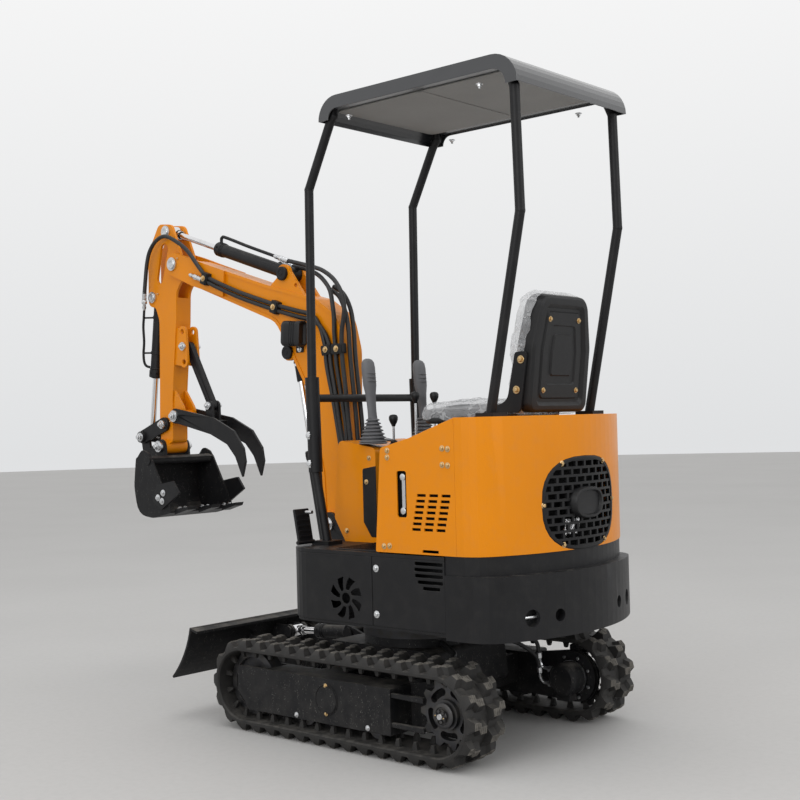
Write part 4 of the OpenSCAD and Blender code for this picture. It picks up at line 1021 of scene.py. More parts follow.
class EXCAVATOR_OT_controls(bpy.types.Operator):
    """Makes both joysticks with their bellows, the small levers and the console's fittings"""

    bl_idname = "excavator.controls"
    bl_label = "Controls"

    # Foot in plan and height of the knob's middle
    LEVERS = ((0.058, -0.070, 1.167), (0.030, -0.145, 1.165), (0.066, 0.045, 1.085))
    UP = (0, 0, 1)
    # Profiles as height and radius
    GRIP = (
        (0.092, 0.0170), (0.118, 0.0165), (0.150, 0.0175), (0.180, 0.0200), (0.200, 0.0230), (0.208, 0.0245),
        (0.240, 0.0250), (0.272, 0.0255), (0.290, 0.0230), (0.300, 0.0165), (0.304, 0.0070))
    BOOT = (
        (-0.012, 0.019), (0.002, 0.019), (0.005, 0.016), (0.008, 0.017),
        (0.012, 0.012), (0.016, 0.013), (0.022, 0.007))
    KNOB = (
        (0.104, 0.006), (0.109, 0.0075), (0.118, 0.0125), (0.128, 0.0162), (0.138, 0.0165), (0.145, 0.012),
        (0.1470, 0.004))
    KNOB_MIDDLE = 0.130
    BELLOWS_RIBS = 7
    GRIP_SIDES = 28
    GRIP_FOOT = 0.092
    GRIP_LEAN = 0.085
    BUTTON = 0.284
    WRAP = (
        (0.0435, 0.672, 0.002), (0.071, 0.672, 0.004), (0.107, 0.724, 0.006), (0.107, 0.912, 0.008),
        (0.0435, 0.922, 0.002))
    CONSOLE_SIDE = 0.1702

    def top(self, x):
        """Height of the console's sloping top."""
        return 0.985 + (x - 0.045) * 0.030 / 0.177

    def joystick(self, y):
        shape = Shape()
        low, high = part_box("joysticks")
        x = (low.x + high.x) / 2
        foot = low.z
        ribs = []
        for i in range(self.BELLOWS_RIBS):
            r = 0.0500 - 0.0042 * i
            z = 0.010 + 0.0125 * i
            ribs += [(z - 0.0040, r - 0.007), (z - 0.0015, r), (z + 0.0015, r), (z + 0.0050, r - 0.008)]
        bellows = [(0, 0.046), (0.003, 0.052), (0.006, 0.050), *ribs, (0.100, 0.016)]
        shape.turned("grey_rubber", bellows, (x, y, foot), self.UP, 32)
        turns = [2 * math.pi * k / self.GRIP_SIDES for k in range(self.GRIP_SIDES)]
        shape.rings("grey_rubber", [
            [(x + self.lean(z) + 0.85 * r * math.cos(t), y + 1.08 * r * math.sin(t), foot + z) for t in turns]
            for z, r in self.GRIP])
        for z in (0.222, 0.236, 0.250):
            band = [(-0.0012, 0.0225), (0, 0.0262), (0.0012, 0.0225)]
            shape.turned("grey_rubber", band, (x + self.lean(z), y, foot + z), self.UP, self.GRIP_SIDES)
        button = (x + self.lean(self.BUTTON) + 0.014, y, foot + self.BUTTON)
        shape.turned("black_plastic", [(0, 0.007), (0.004, 0.007), (0.006, 0.005)], button, (1, 0, 0.25), 14)
        return shape

    def lean(self, z):
        """How far forward a joystick's grip stands at a height above its foot."""
        return self.GRIP_LEAN * max(z - self.GRIP_FOOT, 0)

    def levers(self):
        shape = Shape()
        for x, y, knob in self.LEVERS:
            z = self.top(x)
            up = knob - z - self.KNOB_MIDDLE
            shape.turned("black_plastic", self.BOOT, (x, y, z), self.UP, 24)
            shape.turned("chrome_rod", [(0.010, 0.0045), (0.112 + up, 0.0045)], (x, y, z), self.UP, 14)
            shape.turned("black_plastic", self.KNOB, (x, y, z + up), self.UP, 24)
        x, y, _ = self.LEVERS[1]
        z = self.top(x)
        shape.block("black_paint", (x - 0.018, y - 0.016, z - 0.030), (0.0450, y + 0.016, z - 0.004))
        return shape

    def console(self):
        """Black back plate that wraps round the rear edges, a bare switch panel and the console's bolts."""
        shape = Shape()
        back = rounded([
            (-0.150, 0.672, 0.012), (0.150, 0.672, 0.012), (0.150, 0.930, 0.060), (-0.150, 0.930, 0.060)], 6)
        shape.slab("black_paint", back, lambda y, z, x: (x, y, z), (0.0455, 0.0425, 0.0415))
        for y in (-0.130, 0.130):
            for z in (0.695, 0.880):
                shape.bolt("brass_bolt", (0.0415, y, z), (-1, 0, 0), 0.011)
        face = rounded_box((0.160, -0.075), (0.214, 0.075), 0.008)
        shape.slab(
            "black_plastic", face, lambda x, y, lift: (x, y, self.top(x) + lift),
            (-0.001, 0.003, 0.004), 0.0015)
        for y in (-0.040, 0.0, 0.040):
            ring = [(0, 0.011), (0.003, 0.011), (0.0035, 0.009), (0.002, 0.008)]
            shape.turned("zinc_steel", ring, (0.187, y, self.top(0.187) + 0.003), (-0.167, 0, 0.986), 20)
        wrap = rounded(self.WRAP, 4)
        for side in (-1, 1):
            shape.plate("black_paint", wrap, *sorted((side * 0.1690, side * 0.1725)))
            shape.bolt("brass_bolt", (0.088, side * 0.1725, 0.866), (0, side, 0), 0.010)
        for side in (-1, 1):
            for x, z in ((0.190, 0.690), (0.075, 0.950)):
                shape.bolt("brass_bolt", (x, side * self.CONSOLE_SIDE, z), (0, side, 0), 0.010)
        return shape

    def execute(self, context):
        for name, y in (("left", 0.140), ("right", -0.140)):
            piece = self.joystick(y).object(f"joystick_{name}", "upper", ["joysticks"], angle=45)
        self.levers().object("levers", "upper", ["control_levers"], angle=45)
        self.console().object("console_fittings", "upper", angle=35)
        return {"FINISHED"}


class EXCAVATOR_OT_lamp(bpy.types.Operator):
    """Makes the work lamp with its bezel, reeded lens, fins and bracket"""

    bl_idname = "excavator.lamp"
    bl_label = "Work lamp"

    TILT = math.radians(-4.2)
    HALF_HEIGHT = 0.049
    # Rings of the housing from back to front: forward, outward, corner radius
    HOUSING = (
        (-0.040, -0.013, 0.006), (-0.044, -0.009, 0.009), (-0.050, -0.007, 0.010), (-0.050, -0.003, 0.013),
        (-0.046, 0.0, 0.015), (-0.030, 0.0, 0.015), (-0.026, -0.003, 0.014), (0.014, -0.003, 0.016),
        (0.020, 0.0, 0.018), (0.044, 0.0, 0.018), (0.049, -0.003, 0.016), (0.049, -0.007, 0.012),
        (0.045, -0.008, 0.012))
    LENS = ((0.044, -0.0085, 0.011), (0.0462, -0.0095, 0.010), (0.0468, -0.012, 0.008))

    def execute(self, context):
        low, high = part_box("work_lamp")
        centre = (low + high) / 2
        tilt = Matrix.Rotation(self.TILT, 4, "Y")
        depth = high.y - low.y

        def ring(x, grow, corner):
            h, w = self.HALF_HEIGHT + grow, depth / 2 - 0.001 + grow
            return [centre + tilt @ Vector((x, v, u)) for v, u in rounded_box((-w, -h), (w, h), corner)]

        shape = Shape()
        shape.rings("black_plastic", [ring(*layer) for layer in self.HOUSING])
        shape.rings("lamp_glass", [ring(*layer) for layer in self.LENS])
        for i in range(3):
            x = -0.018 + 0.011 * i
            shape.rings("black_plastic", [ring(x, -0.0015, 0.014), ring(x + 0.004, -0.0015, 0.014)])
        shape.block("black_paint", (0.512, 0.0462, 1.350), (0.552, 0.0510, 1.400))
        shape.bolt("zinc_steel", (0.532, 0.0510, 1.362), (0, 1, 0), 0.012)
        piece = shape.object("lamp", "boom", ["work_lamp"], angle=35)
        return {"FINISHED"}


class EXCAVATOR_OT_hoses(bpy.types.Operator):
    """Runs the hydraulic hoses, steel pipes, clamps and fittings along boom, arm and cylinders"""

    bl_idname = "excavator.hoses"
    bl_label = "Hoses"

    # Turned parts of a fitting, as parts of its length and of the hose's radius, with their numbers of sides
    FITTING = (
        (((0, 0.75), (0.08, 0.75), (0.09, 1.05), (0.22, 1.05), (0.23, 0.8), (0.34, 0.8)), 14),
        (((0.34, 1.25), (0.36, 1.38), (0.54, 1.38), (0.56, 1.2)), 6),
        ((
            (0.56, 0.95), (0.60, 1.22), (0.70, 1.22), (0.72, 1.15), (0.80, 1.22), (0.90, 1.22), (0.93, 1.12),
            (1, 1.12)), 18))
    SIDE_Y = 0.0575
    SIDE_CLAMPS = ((1.050, 1.680), (0.653, 1.533))
    UPPER = (
        (1.050, 1.690), (0.985, 1.660), (0.850, 1.606), (0.653, 1.543), (0.540, 1.512), (0.455, 1.488),
        (0.412, 1.440), (0.392, 1.380), (0.386, 1.352))
    LOWER = (
        (1.072, 1.677), (1.040, 1.666), (0.985, 1.640), (0.850, 1.585), (0.653, 1.522), (0.540, 1.490),
        (0.440, 1.462), (0.390, 1.418), (0.368, 1.375), (0.363, 1.352))

    def fitting(self, shape, start, end, r):
        """A crimped ferrule and a union nut from start to end, for a hose of radius r."""
        out = Vector(end) - Vector(start)
        for profile, sides in self.FITTING:
            shape.turned("zinc_steel", [(out.length * d, r * size) for d, size in profile], start, out, sides)

    def clamp(self, shape, at, along, y, count, pitch, r):
        """A moulded clamp with a cover strip and its bolt, across a row of hoses on the boom's side."""
        out = Vector((along[0], 0, along[1])).normalized()
        cross = Vector((-out.z, 0, out.x))
        half = pitch * (count - 1) / 2 + r + 0.006
        centre = Vector((at[0], y, at[1]))
        for finish_name, length, reach, depth in (
                ("black_plastic", 0.019, half, (-0.011, r + 0.003)),
                ("black_paint", 0.015, half - 0.002, (r + 0.003, r + 0.006))):
            low, top = depth
            shape.slab(
                finish_name, rounded_box((-length, -reach), (length, reach), 0.004, 4),
                lambda u, v, d: centre + out * u + cross * v + Vector((0, d, 0)), (low, top - 0.001, top))
        shape.bolt("brass_bolt", centre + Vector((0, r + 0.006, 0)), (0, 1, 0), 0.013)

    def boom_side(self, r):
        """Two hoses down the boom's left side, held by clamps, as far as its knee."""
        shape = Shape()
        for route in self.UPPER, self.LOWER:
            shape.tube("hose_rubber", smooth_path([self.on_side(x, z) for x, z in route]), r)
        self.fitting(shape, self.on_side(1.150, 1.706), self.on_side(1.066, 1.675), r)
        for at in self.SIDE_CLAMPS:
            self.clamp(shape, at, (0.39, 0.147), self.on_side(*at)[1], 2, r * 2.5, r)
        self.clamp(shape, (0.374, 1.352), (0.16, 1.0), self.SIDE_Y, 2, r * 2.5, r)
        self.clamp(shape, (0.3180, 1.352), (0.05, 1.0), self.SIDE_Y, 2, r * 3.4, r)
        return shape

    def on_side(self, x, z):
        return x, self.fork_lift(x, self.SIDE_Y), z

    def fork_lift(self, x, y):
        """The hoses stand out a little further where they pass the boom's fork."""
        t = min(max((x - 0.90) / 0.13, 0), 1)
        return y + 0.0125 * t * t * (3 - 2 * t)

    def arm_crossing(self, r):
        """The hose over the arm's head to the bucket cylinder."""
        shape = Shape()
        route = [
            (1.050, 1.690), (1.097, 1.737), (1.164, 1.808), (1.240, 1.857), (1.311, 1.884), (1.372, 1.868),
            (1.413, 1.829), (1.433, 1.780), (1.446, 1.711), (1.455, 1.652)]
        shape.tube("hose_rubber", smooth_path([self.on_side(x, z) for x, z in route]), r)
        return shape

    def bucket_pipe(self, r, thin):
        """Fitting, steel pipe and straps beside the bucket cylinder's barrel."""
        shape = Shape()
        self.fitting(shape, (1.482, 0.052, 1.585), (1.455, 0.070, 1.660), r)
        pipe = [
            (1.482, 0.052, 1.588), (1.493, 0.047, 1.550), (1.500, 0.045, 1.510), (1.497, 0.045, 1.448),
            (1.504, 0.044, 1.398), (1.503, 0.042, 1.362), (1.496, 0.036, 1.344), (1.484, 0.026, 1.338)]
        shape.tube("black_paint", smooth_path(pipe), thin)
        for z, x in ((1.552, 1.493), (1.400, 1.500)):
            axis = Vector(self.barrel_axis(z))
            shape.turned("black_paint", [
                (-0.007, 0.0248), (-0.007, 0.0262), (-0.006, 0.0275), (0.006, 0.0275), (0.007, 0.0262),
                (0.007, 0.0248)],
                axis, (0.13, 0, -1), 36, closed=True)
            shape.tube("black_paint", [axis + Vector((0.018, 0.018, 0)), Vector((x, 0.045, z))], 0.004, 8)
        return shape

    def barrel_axis(self, z):
        """The bucket cylinder's centre line at a height."""
        (x0, z0), (x1, z1) = BUCKET_BASE_PIN, LINKAGE_PIN
        return x0 + (x1 - x0) * (z - z0) / (z1 - z0), 0, z

    def arm_barrel_pipe(self, r, thin):
        """Riser, steel pipe and unions on top of the boom's long cylinder."""
        shape = Shape()
        riser = [
            (1.012, 0.010, 1.806), (1.016, 0.010, 1.836), (1.010, 0.010, 1.850), (0.985, 0.010, 1.846),
            (0.850, 0.010, 1.795), (0.702, 0.010, 1.742)]
        shape.tube("black_paint", smooth_path(riser), thin * 1.2)
        boss = [(-0.012, 0.018), (0.006, 0.018), (0.009, 0.012), (0.014, 0.010)]
        shape.turned("black_paint", boss, (1.011, 0.010, 1.800), (0.1, 0, 1), 18)
        self.fitting(shape, (0.702, 0.010, 1.742), (0.624, 0.010, 1.714), r)
        self.fitting(shape, (0.690, -0.018, 1.716), (0.624, -0.016, 1.694), r)
        boss = [(-0.010, 0.015), (0.010, 0.015), (0.014, 0.009)]
        shape.turned("black_paint", boss, (0.693, -0.018, 1.706), (-0.33, 0, 0.94), 18)
        return shape

    def arch(self, r):
        """Two hoses that arch from the long cylinder's foot down the boom's side."""
        shape = Shape()
        outer = [
            (0.628, 0.010, 1.716), (0.560, 0.012, 1.698), (0.480, 0.016, 1.676), (0.420, 0.024, 1.655),
            (0.355, 0.036, 1.616), (0.304, 0.050, 1.562), (0.284, 0.0575, 1.509), (0.290, 0.0575, 1.460),
            (0.300, 0.0575, 1.415), (0.303, 0.0575, 1.352)]
        inner = [
            (0.628, -0.016, 1.696), (0.560, -0.012, 1.680), (0.490, 0.002, 1.657), (0.430, 0.020, 1.626),
            (0.372, 0.042, 1.578), (0.344, 0.0575, 1.520), (0.338, 0.0575, 1.470), (0.338, 0.0575, 1.410),
            (0.334, 0.0575, 1.352)]
        shape.tube("hose_rubber", smooth_path(outer), r)
        shape.tube("hose_rubber", smooth_path(inner), r)
        return shape

    def descent(self, r):
        """The bundle down the boom's side and back, into the machine behind the boom's foot pin."""
        shape = Shape()
        foot_z = BOOM_PIN[1]
        tops = (
            (0.386, 0.0575), (0.363, 0.0575), (0.334, 0.0575), (0.303, 0.0575), (0.282, 0.036), (0.280, 0.010))
        for i, (x, y) in enumerate(tops):
            sway = 0.004 * math.sin(2.4 * i)
            lean = 0.13 * (x - 0.28)
            shape.tube("hose_rubber", smooth_path([
                (x, y, 1.356), (x - 0.005, y, 1.290), (x - 0.016 - lean, y + sway * 0.3, 1.180),
                (x - 0.026 - 2 * lean + sway, y, 1.060), (x - 0.030 - 3.2 * lean - sway, y, 0.940),
                (0.274 + 0.25 * (x - 0.28), y * 0.9 + 0.004, foot_z + 0.135),
                (0.268 + 0.10 * (x - 0.28), y * 0.75, foot_z + 0.050),
                (0.262 + 0.05 * (x - 0.28), y * 0.7, foot_z - 0.045)]), r)
        return shape

    def rear_loop(self, r):
        """The two hoses at the boom's back turn over into their unions under the long cylinder's foot."""
        shape = Shape()
        for x, y, lift in ((0.282, 0.036, 0.0), (0.280, 0.010, 0.012)):
            shape.tube("hose_rubber", smooth_path([
                (x, y, 1.350), (x + 0.003, y, 1.420), (x + 0.016, y, 1.486 + lift),
                (x + 0.052, y * 0.8, 1.548 + lift), (x + 0.105, y * 0.6, 1.582 + lift)]), r)
        return shape

    def execute(self, context):
        sizes = context.scene.excavator_hose
        r, thin = sizes.radius, sizes.thin
        self.boom_side(r).object("boom_side_hoses", "boom", ["boom_hoses"])
        self.rear_loop(r).object("rear_hoses", "boom")
        crossing = self.arm_crossing(r).object("arm_crossing_hose", None)
        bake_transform(crossing)
        self.bucket_pipe(r, thin).object("bucket_cylinder_pipe", "bucket_barrel")
        self.arm_barrel_pipe(r, thin).object("arm_cylinder_pipe", "arm_barrel")
        arch = self.arch(r).object("arch_hoses", None)
        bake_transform(arch)
        descent = self.descent(r).object("descending_hoses", None)
        x, z = BOOM_PIN
        x - 0.08
        z - 0.02
        x - 0.06
        z + 0.45
        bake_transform(descent)
        return {"FINISHED"}


class EXCAVATOR_OT_pin_ends(bpy.types.Operator):
    """Puts washers, nuts and caps on the ends of the linkage's pins"""

    bl_idname = "excavator.pin_ends"
    bl_label = "Pin ends"

    # Body, pin, distance of its end from the middle plane, and radius
    NUTS = (
        ("arm", BUCKET_PIN, 0.081, 0.019), ("arm", ROCKER_PIN, 0.067, 0.016),
        ("arm", THUMB_PIN, 0.068, 0.019), ("arm", STRUT_TOP, 0.042, 0.0145), ("arm", STRUT_LOW, 0.032, 0.013),
        ("rocker", LINKAGE_PIN, 0.066, 0.019), ("bucket", LINK_LOW_PIN, 0.080, 0.019),
        ("upper", BOOM_PIN, 0.0833, 0.020), ("upper", BOOM_BASE_PIN, 0.052, 0.017))
    DISCS = (
        ("boom", ARM_PIN, 0.067, 0.022), ("arm", BUCKET_BASE_PIN, 0.048, 0.0185),
        ("arm", ARM_EYE, 0.048, 0.0195))
    CAPS = (("boom", ARM_BASE_PIN, 0.054, 0.027), ("boom", BOOM_EYE, 0.054, 0.027))
    # Height and radius of a disc in parts of its radius, and of a cap in metres and in parts of its radius
    DISC = ((0, 0.96), (0, 1), (0.20, 1), (0.26, 0.93), (0.27, 0.50), (0.25, 0.45))
    CAP = (
        (-0.0065, 1), (0.0035, 1), (0.0055, 0.93), (0.0060, 0.62),
        (0.0045, 0.56), (0.0045, 0.30), (0.0060, 0.24))
    SIDES = 32

    def disc(self, shape, at, out, radius):
        shape.turned("zinc_steel", [(radius * d, radius * r) for d, r in self.DISC], at, out, self.SIDES)

    def cap(self, shape, at, out, radius):
        shape.turned("black_paint", [(d, radius * r) for d, r in self.CAP], at, out, self.SIDES)

    def execute(self, context):
        shapes = {}
        for ends, add in ((self.NUTS, Shape.nut_stack), (self.DISCS, self.disc), (self.CAPS, self.cap)):
            for body, (x, z), y, radius in ends:
                shape = shapes.setdefault(body, Shape())
                for side in (-1, 1):
                    add(shape, (x, side * y, z), (0, side, 0), radius)
        for body, shape in shapes.items():
            shape.object(f"pin_ends_{body}", body, angle=30)
        return {"FINISHED"}


class EXCAVATOR_OT_cylinders(bpy.types.Operator):
    """Adds gland nuts, wiper rings, weld beads and rod ends to the hydraulic cylinders"""

    bl_idname = "excavator.cylinders"
    bl_label = "Cylinders"

    # Bodies of barrel and rod, base pin, rod pin, barrel's length and radius, length of the black rod end
    SET = (
        ("boom_barrel", "boom_rod", BOOM_BASE_PIN, BOOM_EYE, 0.500, 0.026, 0.115),
        ("arm_barrel", "arm_rod", ARM_BASE_PIN, ARM_EYE, 0.450, 0.026, 0.055),
        ("bucket_barrel", "bucket_rod", BUCKET_BASE_PIN, LINKAGE_PIN, 0.345, 0.025, 0.050),
        ("blade_barrel", "blade_rod", BLADE_BASE_PIN, BLADE_EYE, 0.196, 0.024, 0.048))
    GLAND = 0.034
    GLAND_LIP = 0.0025
    FOOT_WELD = 0.040
    ROD = 0.0125

    def execute(self, context):
        for barrel, rod, base, eye, mouth, r, end in self.SET:
            foot = Vector((base[0], 0, base[1]))
            along = Vector((eye[0], 0, eye[1])) - foot
            length = along.length
            along.normalize()
            self.gland(foot, along, mouth, r + self.GLAND_LIP).object(f"gland_{barrel}", barrel, angle=35)
            self.rod_end(foot, along, length, end).object(f"rod_end_{rod}", rod, angle=35)
        return {"FINISHED"}

    def gland(self, foot, along, mouth, r):
        """Gland nut with its spanner holes, a wiper ring, and weld beads at both ends of the tube."""
        shape = Shape()
        shape.turned("black_paint", [
            (mouth - self.GLAND + 0.002, r - 0.001), (mouth - self.GLAND + 0.004, r + 0.0015),
            (mouth - 0.004, r + 0.0015), (mouth - 0.002, r - 0.0004)], foot, along, 40)
        middle = foot + along * (mouth - self.GLAND / 2)
        _, side, up = basis(along)
        for k in range(6):
            turn = math.pi * k / 3 + 0.3
            out = side * math.cos(turn) + up * math.sin(turn)
            hole = [(0, 0.0045), (0.0006, 0.0045), (0.0007, 0.0030)]
            shape.turned("deep_shadow", hole, middle + out * (r + 0.0013), out, 12)
        shape.turned("black_plastic", [
            (mouth - 0.001, self.ROD + 0.0005), (mouth, self.ROD + 0.0080), (mouth + 0.0025, self.ROD + 0.0072),
            (mouth + 0.0045, self.ROD + 0.0014)], foot, along, 32)
        tube = r - self.GLAND_LIP
        for at in (self.FOOT_WELD, mouth - self.GLAND - 0.004):
            shape.turned("black_paint", [
                (at - 0.004, tube - 0.001), (at - 0.003, tube + 0.0018), (at, tube + 0.0030),
                (at + 0.003, tube + 0.0018), (at + 0.004, tube - 0.001)], foot, along, 40)
        return shape

    def rod_end(self, foot, along, length, end):
        """The black rod end with its collar."""
        shape = Shape()
        r = self.ROD
        shape.turned("black_paint", [
            (length - end, r + 0.0003), (length - end, r + 0.0030), (length - end + 0.003, r + 0.0045),
            (length - 0.044, r + 0.0045), (length - 0.042, r + 0.0070), (length - 0.034, r + 0.0070),
            (length - 0.030, r + 0.0030)],
            foot, along, 32)
        return shape


class EXCAVATOR_OT_undercarriage(bpy.types.Operator):
    """Adds bolts, tie bars, hub nuts, motor fittings and hoses to the undercarriage"""

    bl_idname = "excavator.undercarriage"
    bl_label = "Undercarriage details"

    HUB = (-0.440, 0.160)
    COVER = (0.046, 0.153)
    ROLLERS = ((0.192, 0.084), (-0.138, 0.084))
    WALL = 0.440
    TIE_BARS = (0.106, 0.200)
    NUT_CIRCLE = 0.0170
    MOTOR_FLANGE = 0.298
    FLANGE_CIRCLE = 0.074
    ELBOWS = (0.030, -0.022)

    def frame_side(self, shape, sign):
        """The ring of the cover plate, its bolts, the rollers' bolts and the two tie bars."""
        wall = sign * self.WALL
        out = (0, sign, 0)
        x, z = self.COVER
        ring = [(-0.002, 0.0520), (0.0018, 0.0515), (0.0030, 0.0505), (0.0030, 0.0490), (-0.002, 0.0480)]
        shape.turned("worn_black", ring, (x, wall, z), out, 56)
        for dz in (-0.046, 0.046):
            shape.bolt("brass_bolt", (x + 0.002, wall + sign * 0.002, z + dz), out, 0.009)
        for x, z in self.ROLLERS:
            shape.bolt("zinc_steel", (x, wall, z), out, 0.010)
        for z in self.TIE_BARS:
            low, high = sorted((wall - sign * 0.018, wall - sign * 0.004))
            bar = [
                (-0.372, z - 0.009, 0.004), (-0.230, z - 0.006, 0.004), (-0.230, z + 0.008, 0.004),
                (-0.372, z + 0.009, 0.004)]
            shape.plate("worn_black", rounded(bar, 3), low, high)

    def hub(self, shape, sign):
        """The sprocket's hub cap with its nuts, and the axle's end."""
        x, z = self.HUB
        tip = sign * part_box("sprockets")[1].y
        out = (0, sign, 0)
        rim = [(-0.004, 0.040), (0.002, 0.040), (0.005, 0.036), (0.006, 0.028), (0.003, 0.026)]
        shape.turned("dark_steel", rim, (x, tip, z), out, 36)
        cap = [(0.001, 0.0215), (0.010, 0.0215), (0.012, 0.019), (0.012, 0.012)]
        shape.turned("dark_steel", cap, (x, tip, z), out, 30)
        for k in range(6):
            t = math.radians(60 * k + 15)
            spot = (x + self.NUT_CIRCLE * math.cos(t), tip + sign * 0.011, z + self.NUT_CIRCLE * math.sin(t))
            shape.turned("dark_steel", [(0, 0.0058), (0.007, 0.0055), (0.008, 0.0045)], spot, out, 8)
        axle = [(0.008, 0.0100), (0.019, 0.0100), (0.021, 0.0085), (0.0205, 0.003)]
        shape.turned("zinc_steel", axle, (x, tip, z), out, 20)
        for t in (0.2, 3.3):
            spot = (x + 0.0165 * math.cos(t), tip + sign * 0.016, z + 0.0165 * math.sin(t))
            shape.turned("brass_bolt", [(0, 0.0025), (0.004, 0.0025), (0.005, 0.0015)], spot, out, 10)

    def motor(self, shape, sign):
        """Flange bolts, a bright rim, two elbow fittings and their hoses."""
        x, z = self.HUB
        flange = sign * self.MOTOR_FLANGE
        inner = (0, -sign, 0)
        for k in range(8):
            t = math.radians(45 * k + 22)
            spot = (x + self.FLANGE_CIRCLE * math.cos(t), flange, z + self.FLANGE_CIRCLE * math.sin(t))
            shape.bolt("zinc_steel", spot, inner, 0.011, washer=False)
        rim = [(0, 0.0582), (0, 0.0600), (0.006, 0.0600), (0.006, 0.0582)]
        shape.turned("zinc_steel", rim, (x, flange, z), inner, 40)
        for dz in self.ELBOWS:
            root = Vector((x + 0.054, sign * 0.252, z + dz))
            union = [(-0.008, 0.0115), (0.012, 0.0115), (0.014, 0.0095)]
            shape.turned("zinc_steel", union, root, (1, 0, 0), 6)
            elbow = [root + Vector(step) for step in (
                (0.010, 0, 0), (0.034, 0, 0.003), (0.044, -sign * 0.003, 0.016), (0.046, -sign * 0.005, 0.036))]
            shape.tube("zinc_steel", smooth_path(elbow, 6), 0.0065, 10)
            end = elbow[-1]
            nut = [(0, 0.0105), (0.018, 0.0105), (0.020, 0.009)]
            shape.turned("zinc_steel", nut, end, (0, -sign * 0.1, 1), 6)
            run = [
                end + Vector((0, -sign * 0.001, 0.012)), end + Vector((0.010, -sign * 0.014, 0.062)),
                (-0.290, sign * 0.170, 0.292 + dz * 0.2), (-0.215, sign * 0.120, 0.304 + dz * 0.2),
                (-0.130, sign * 0.075, 0.320)]
            shape.tube("hose_rubber", smooth_path(run), 0.0075, 10)

    def blade_lines(self, shape):
        """The blade cylinder's spare ports with their red caps."""
        for sign in (-1, 1):
            root = Vector((0.325, sign * 0.085, 0.246))
            out = Vector((0.35, sign * 0.80, 0.45)).normalized()
            shape.turned("zinc_steel", [(-0.020, 0.0085), (0.012, 0.0085), (0.014, 0.007)], root, out, 6)
            shape.turned("red_cap", [(0.010, 0.0090), (0.026, 0.0090), (0.028, 0.0075)], root, out, 14)

    def execute(self, context):
        shape = Shape()
        for sign in (-1, 1):
            self.frame_side(shape, sign)
            self.hub(shape, sign)
            self.motor(shape, sign)
        self.blade_lines(shape)
        shape.object("undercarriage_fittings", "undercarriage", angle=30)
        return {"FINISHED"}


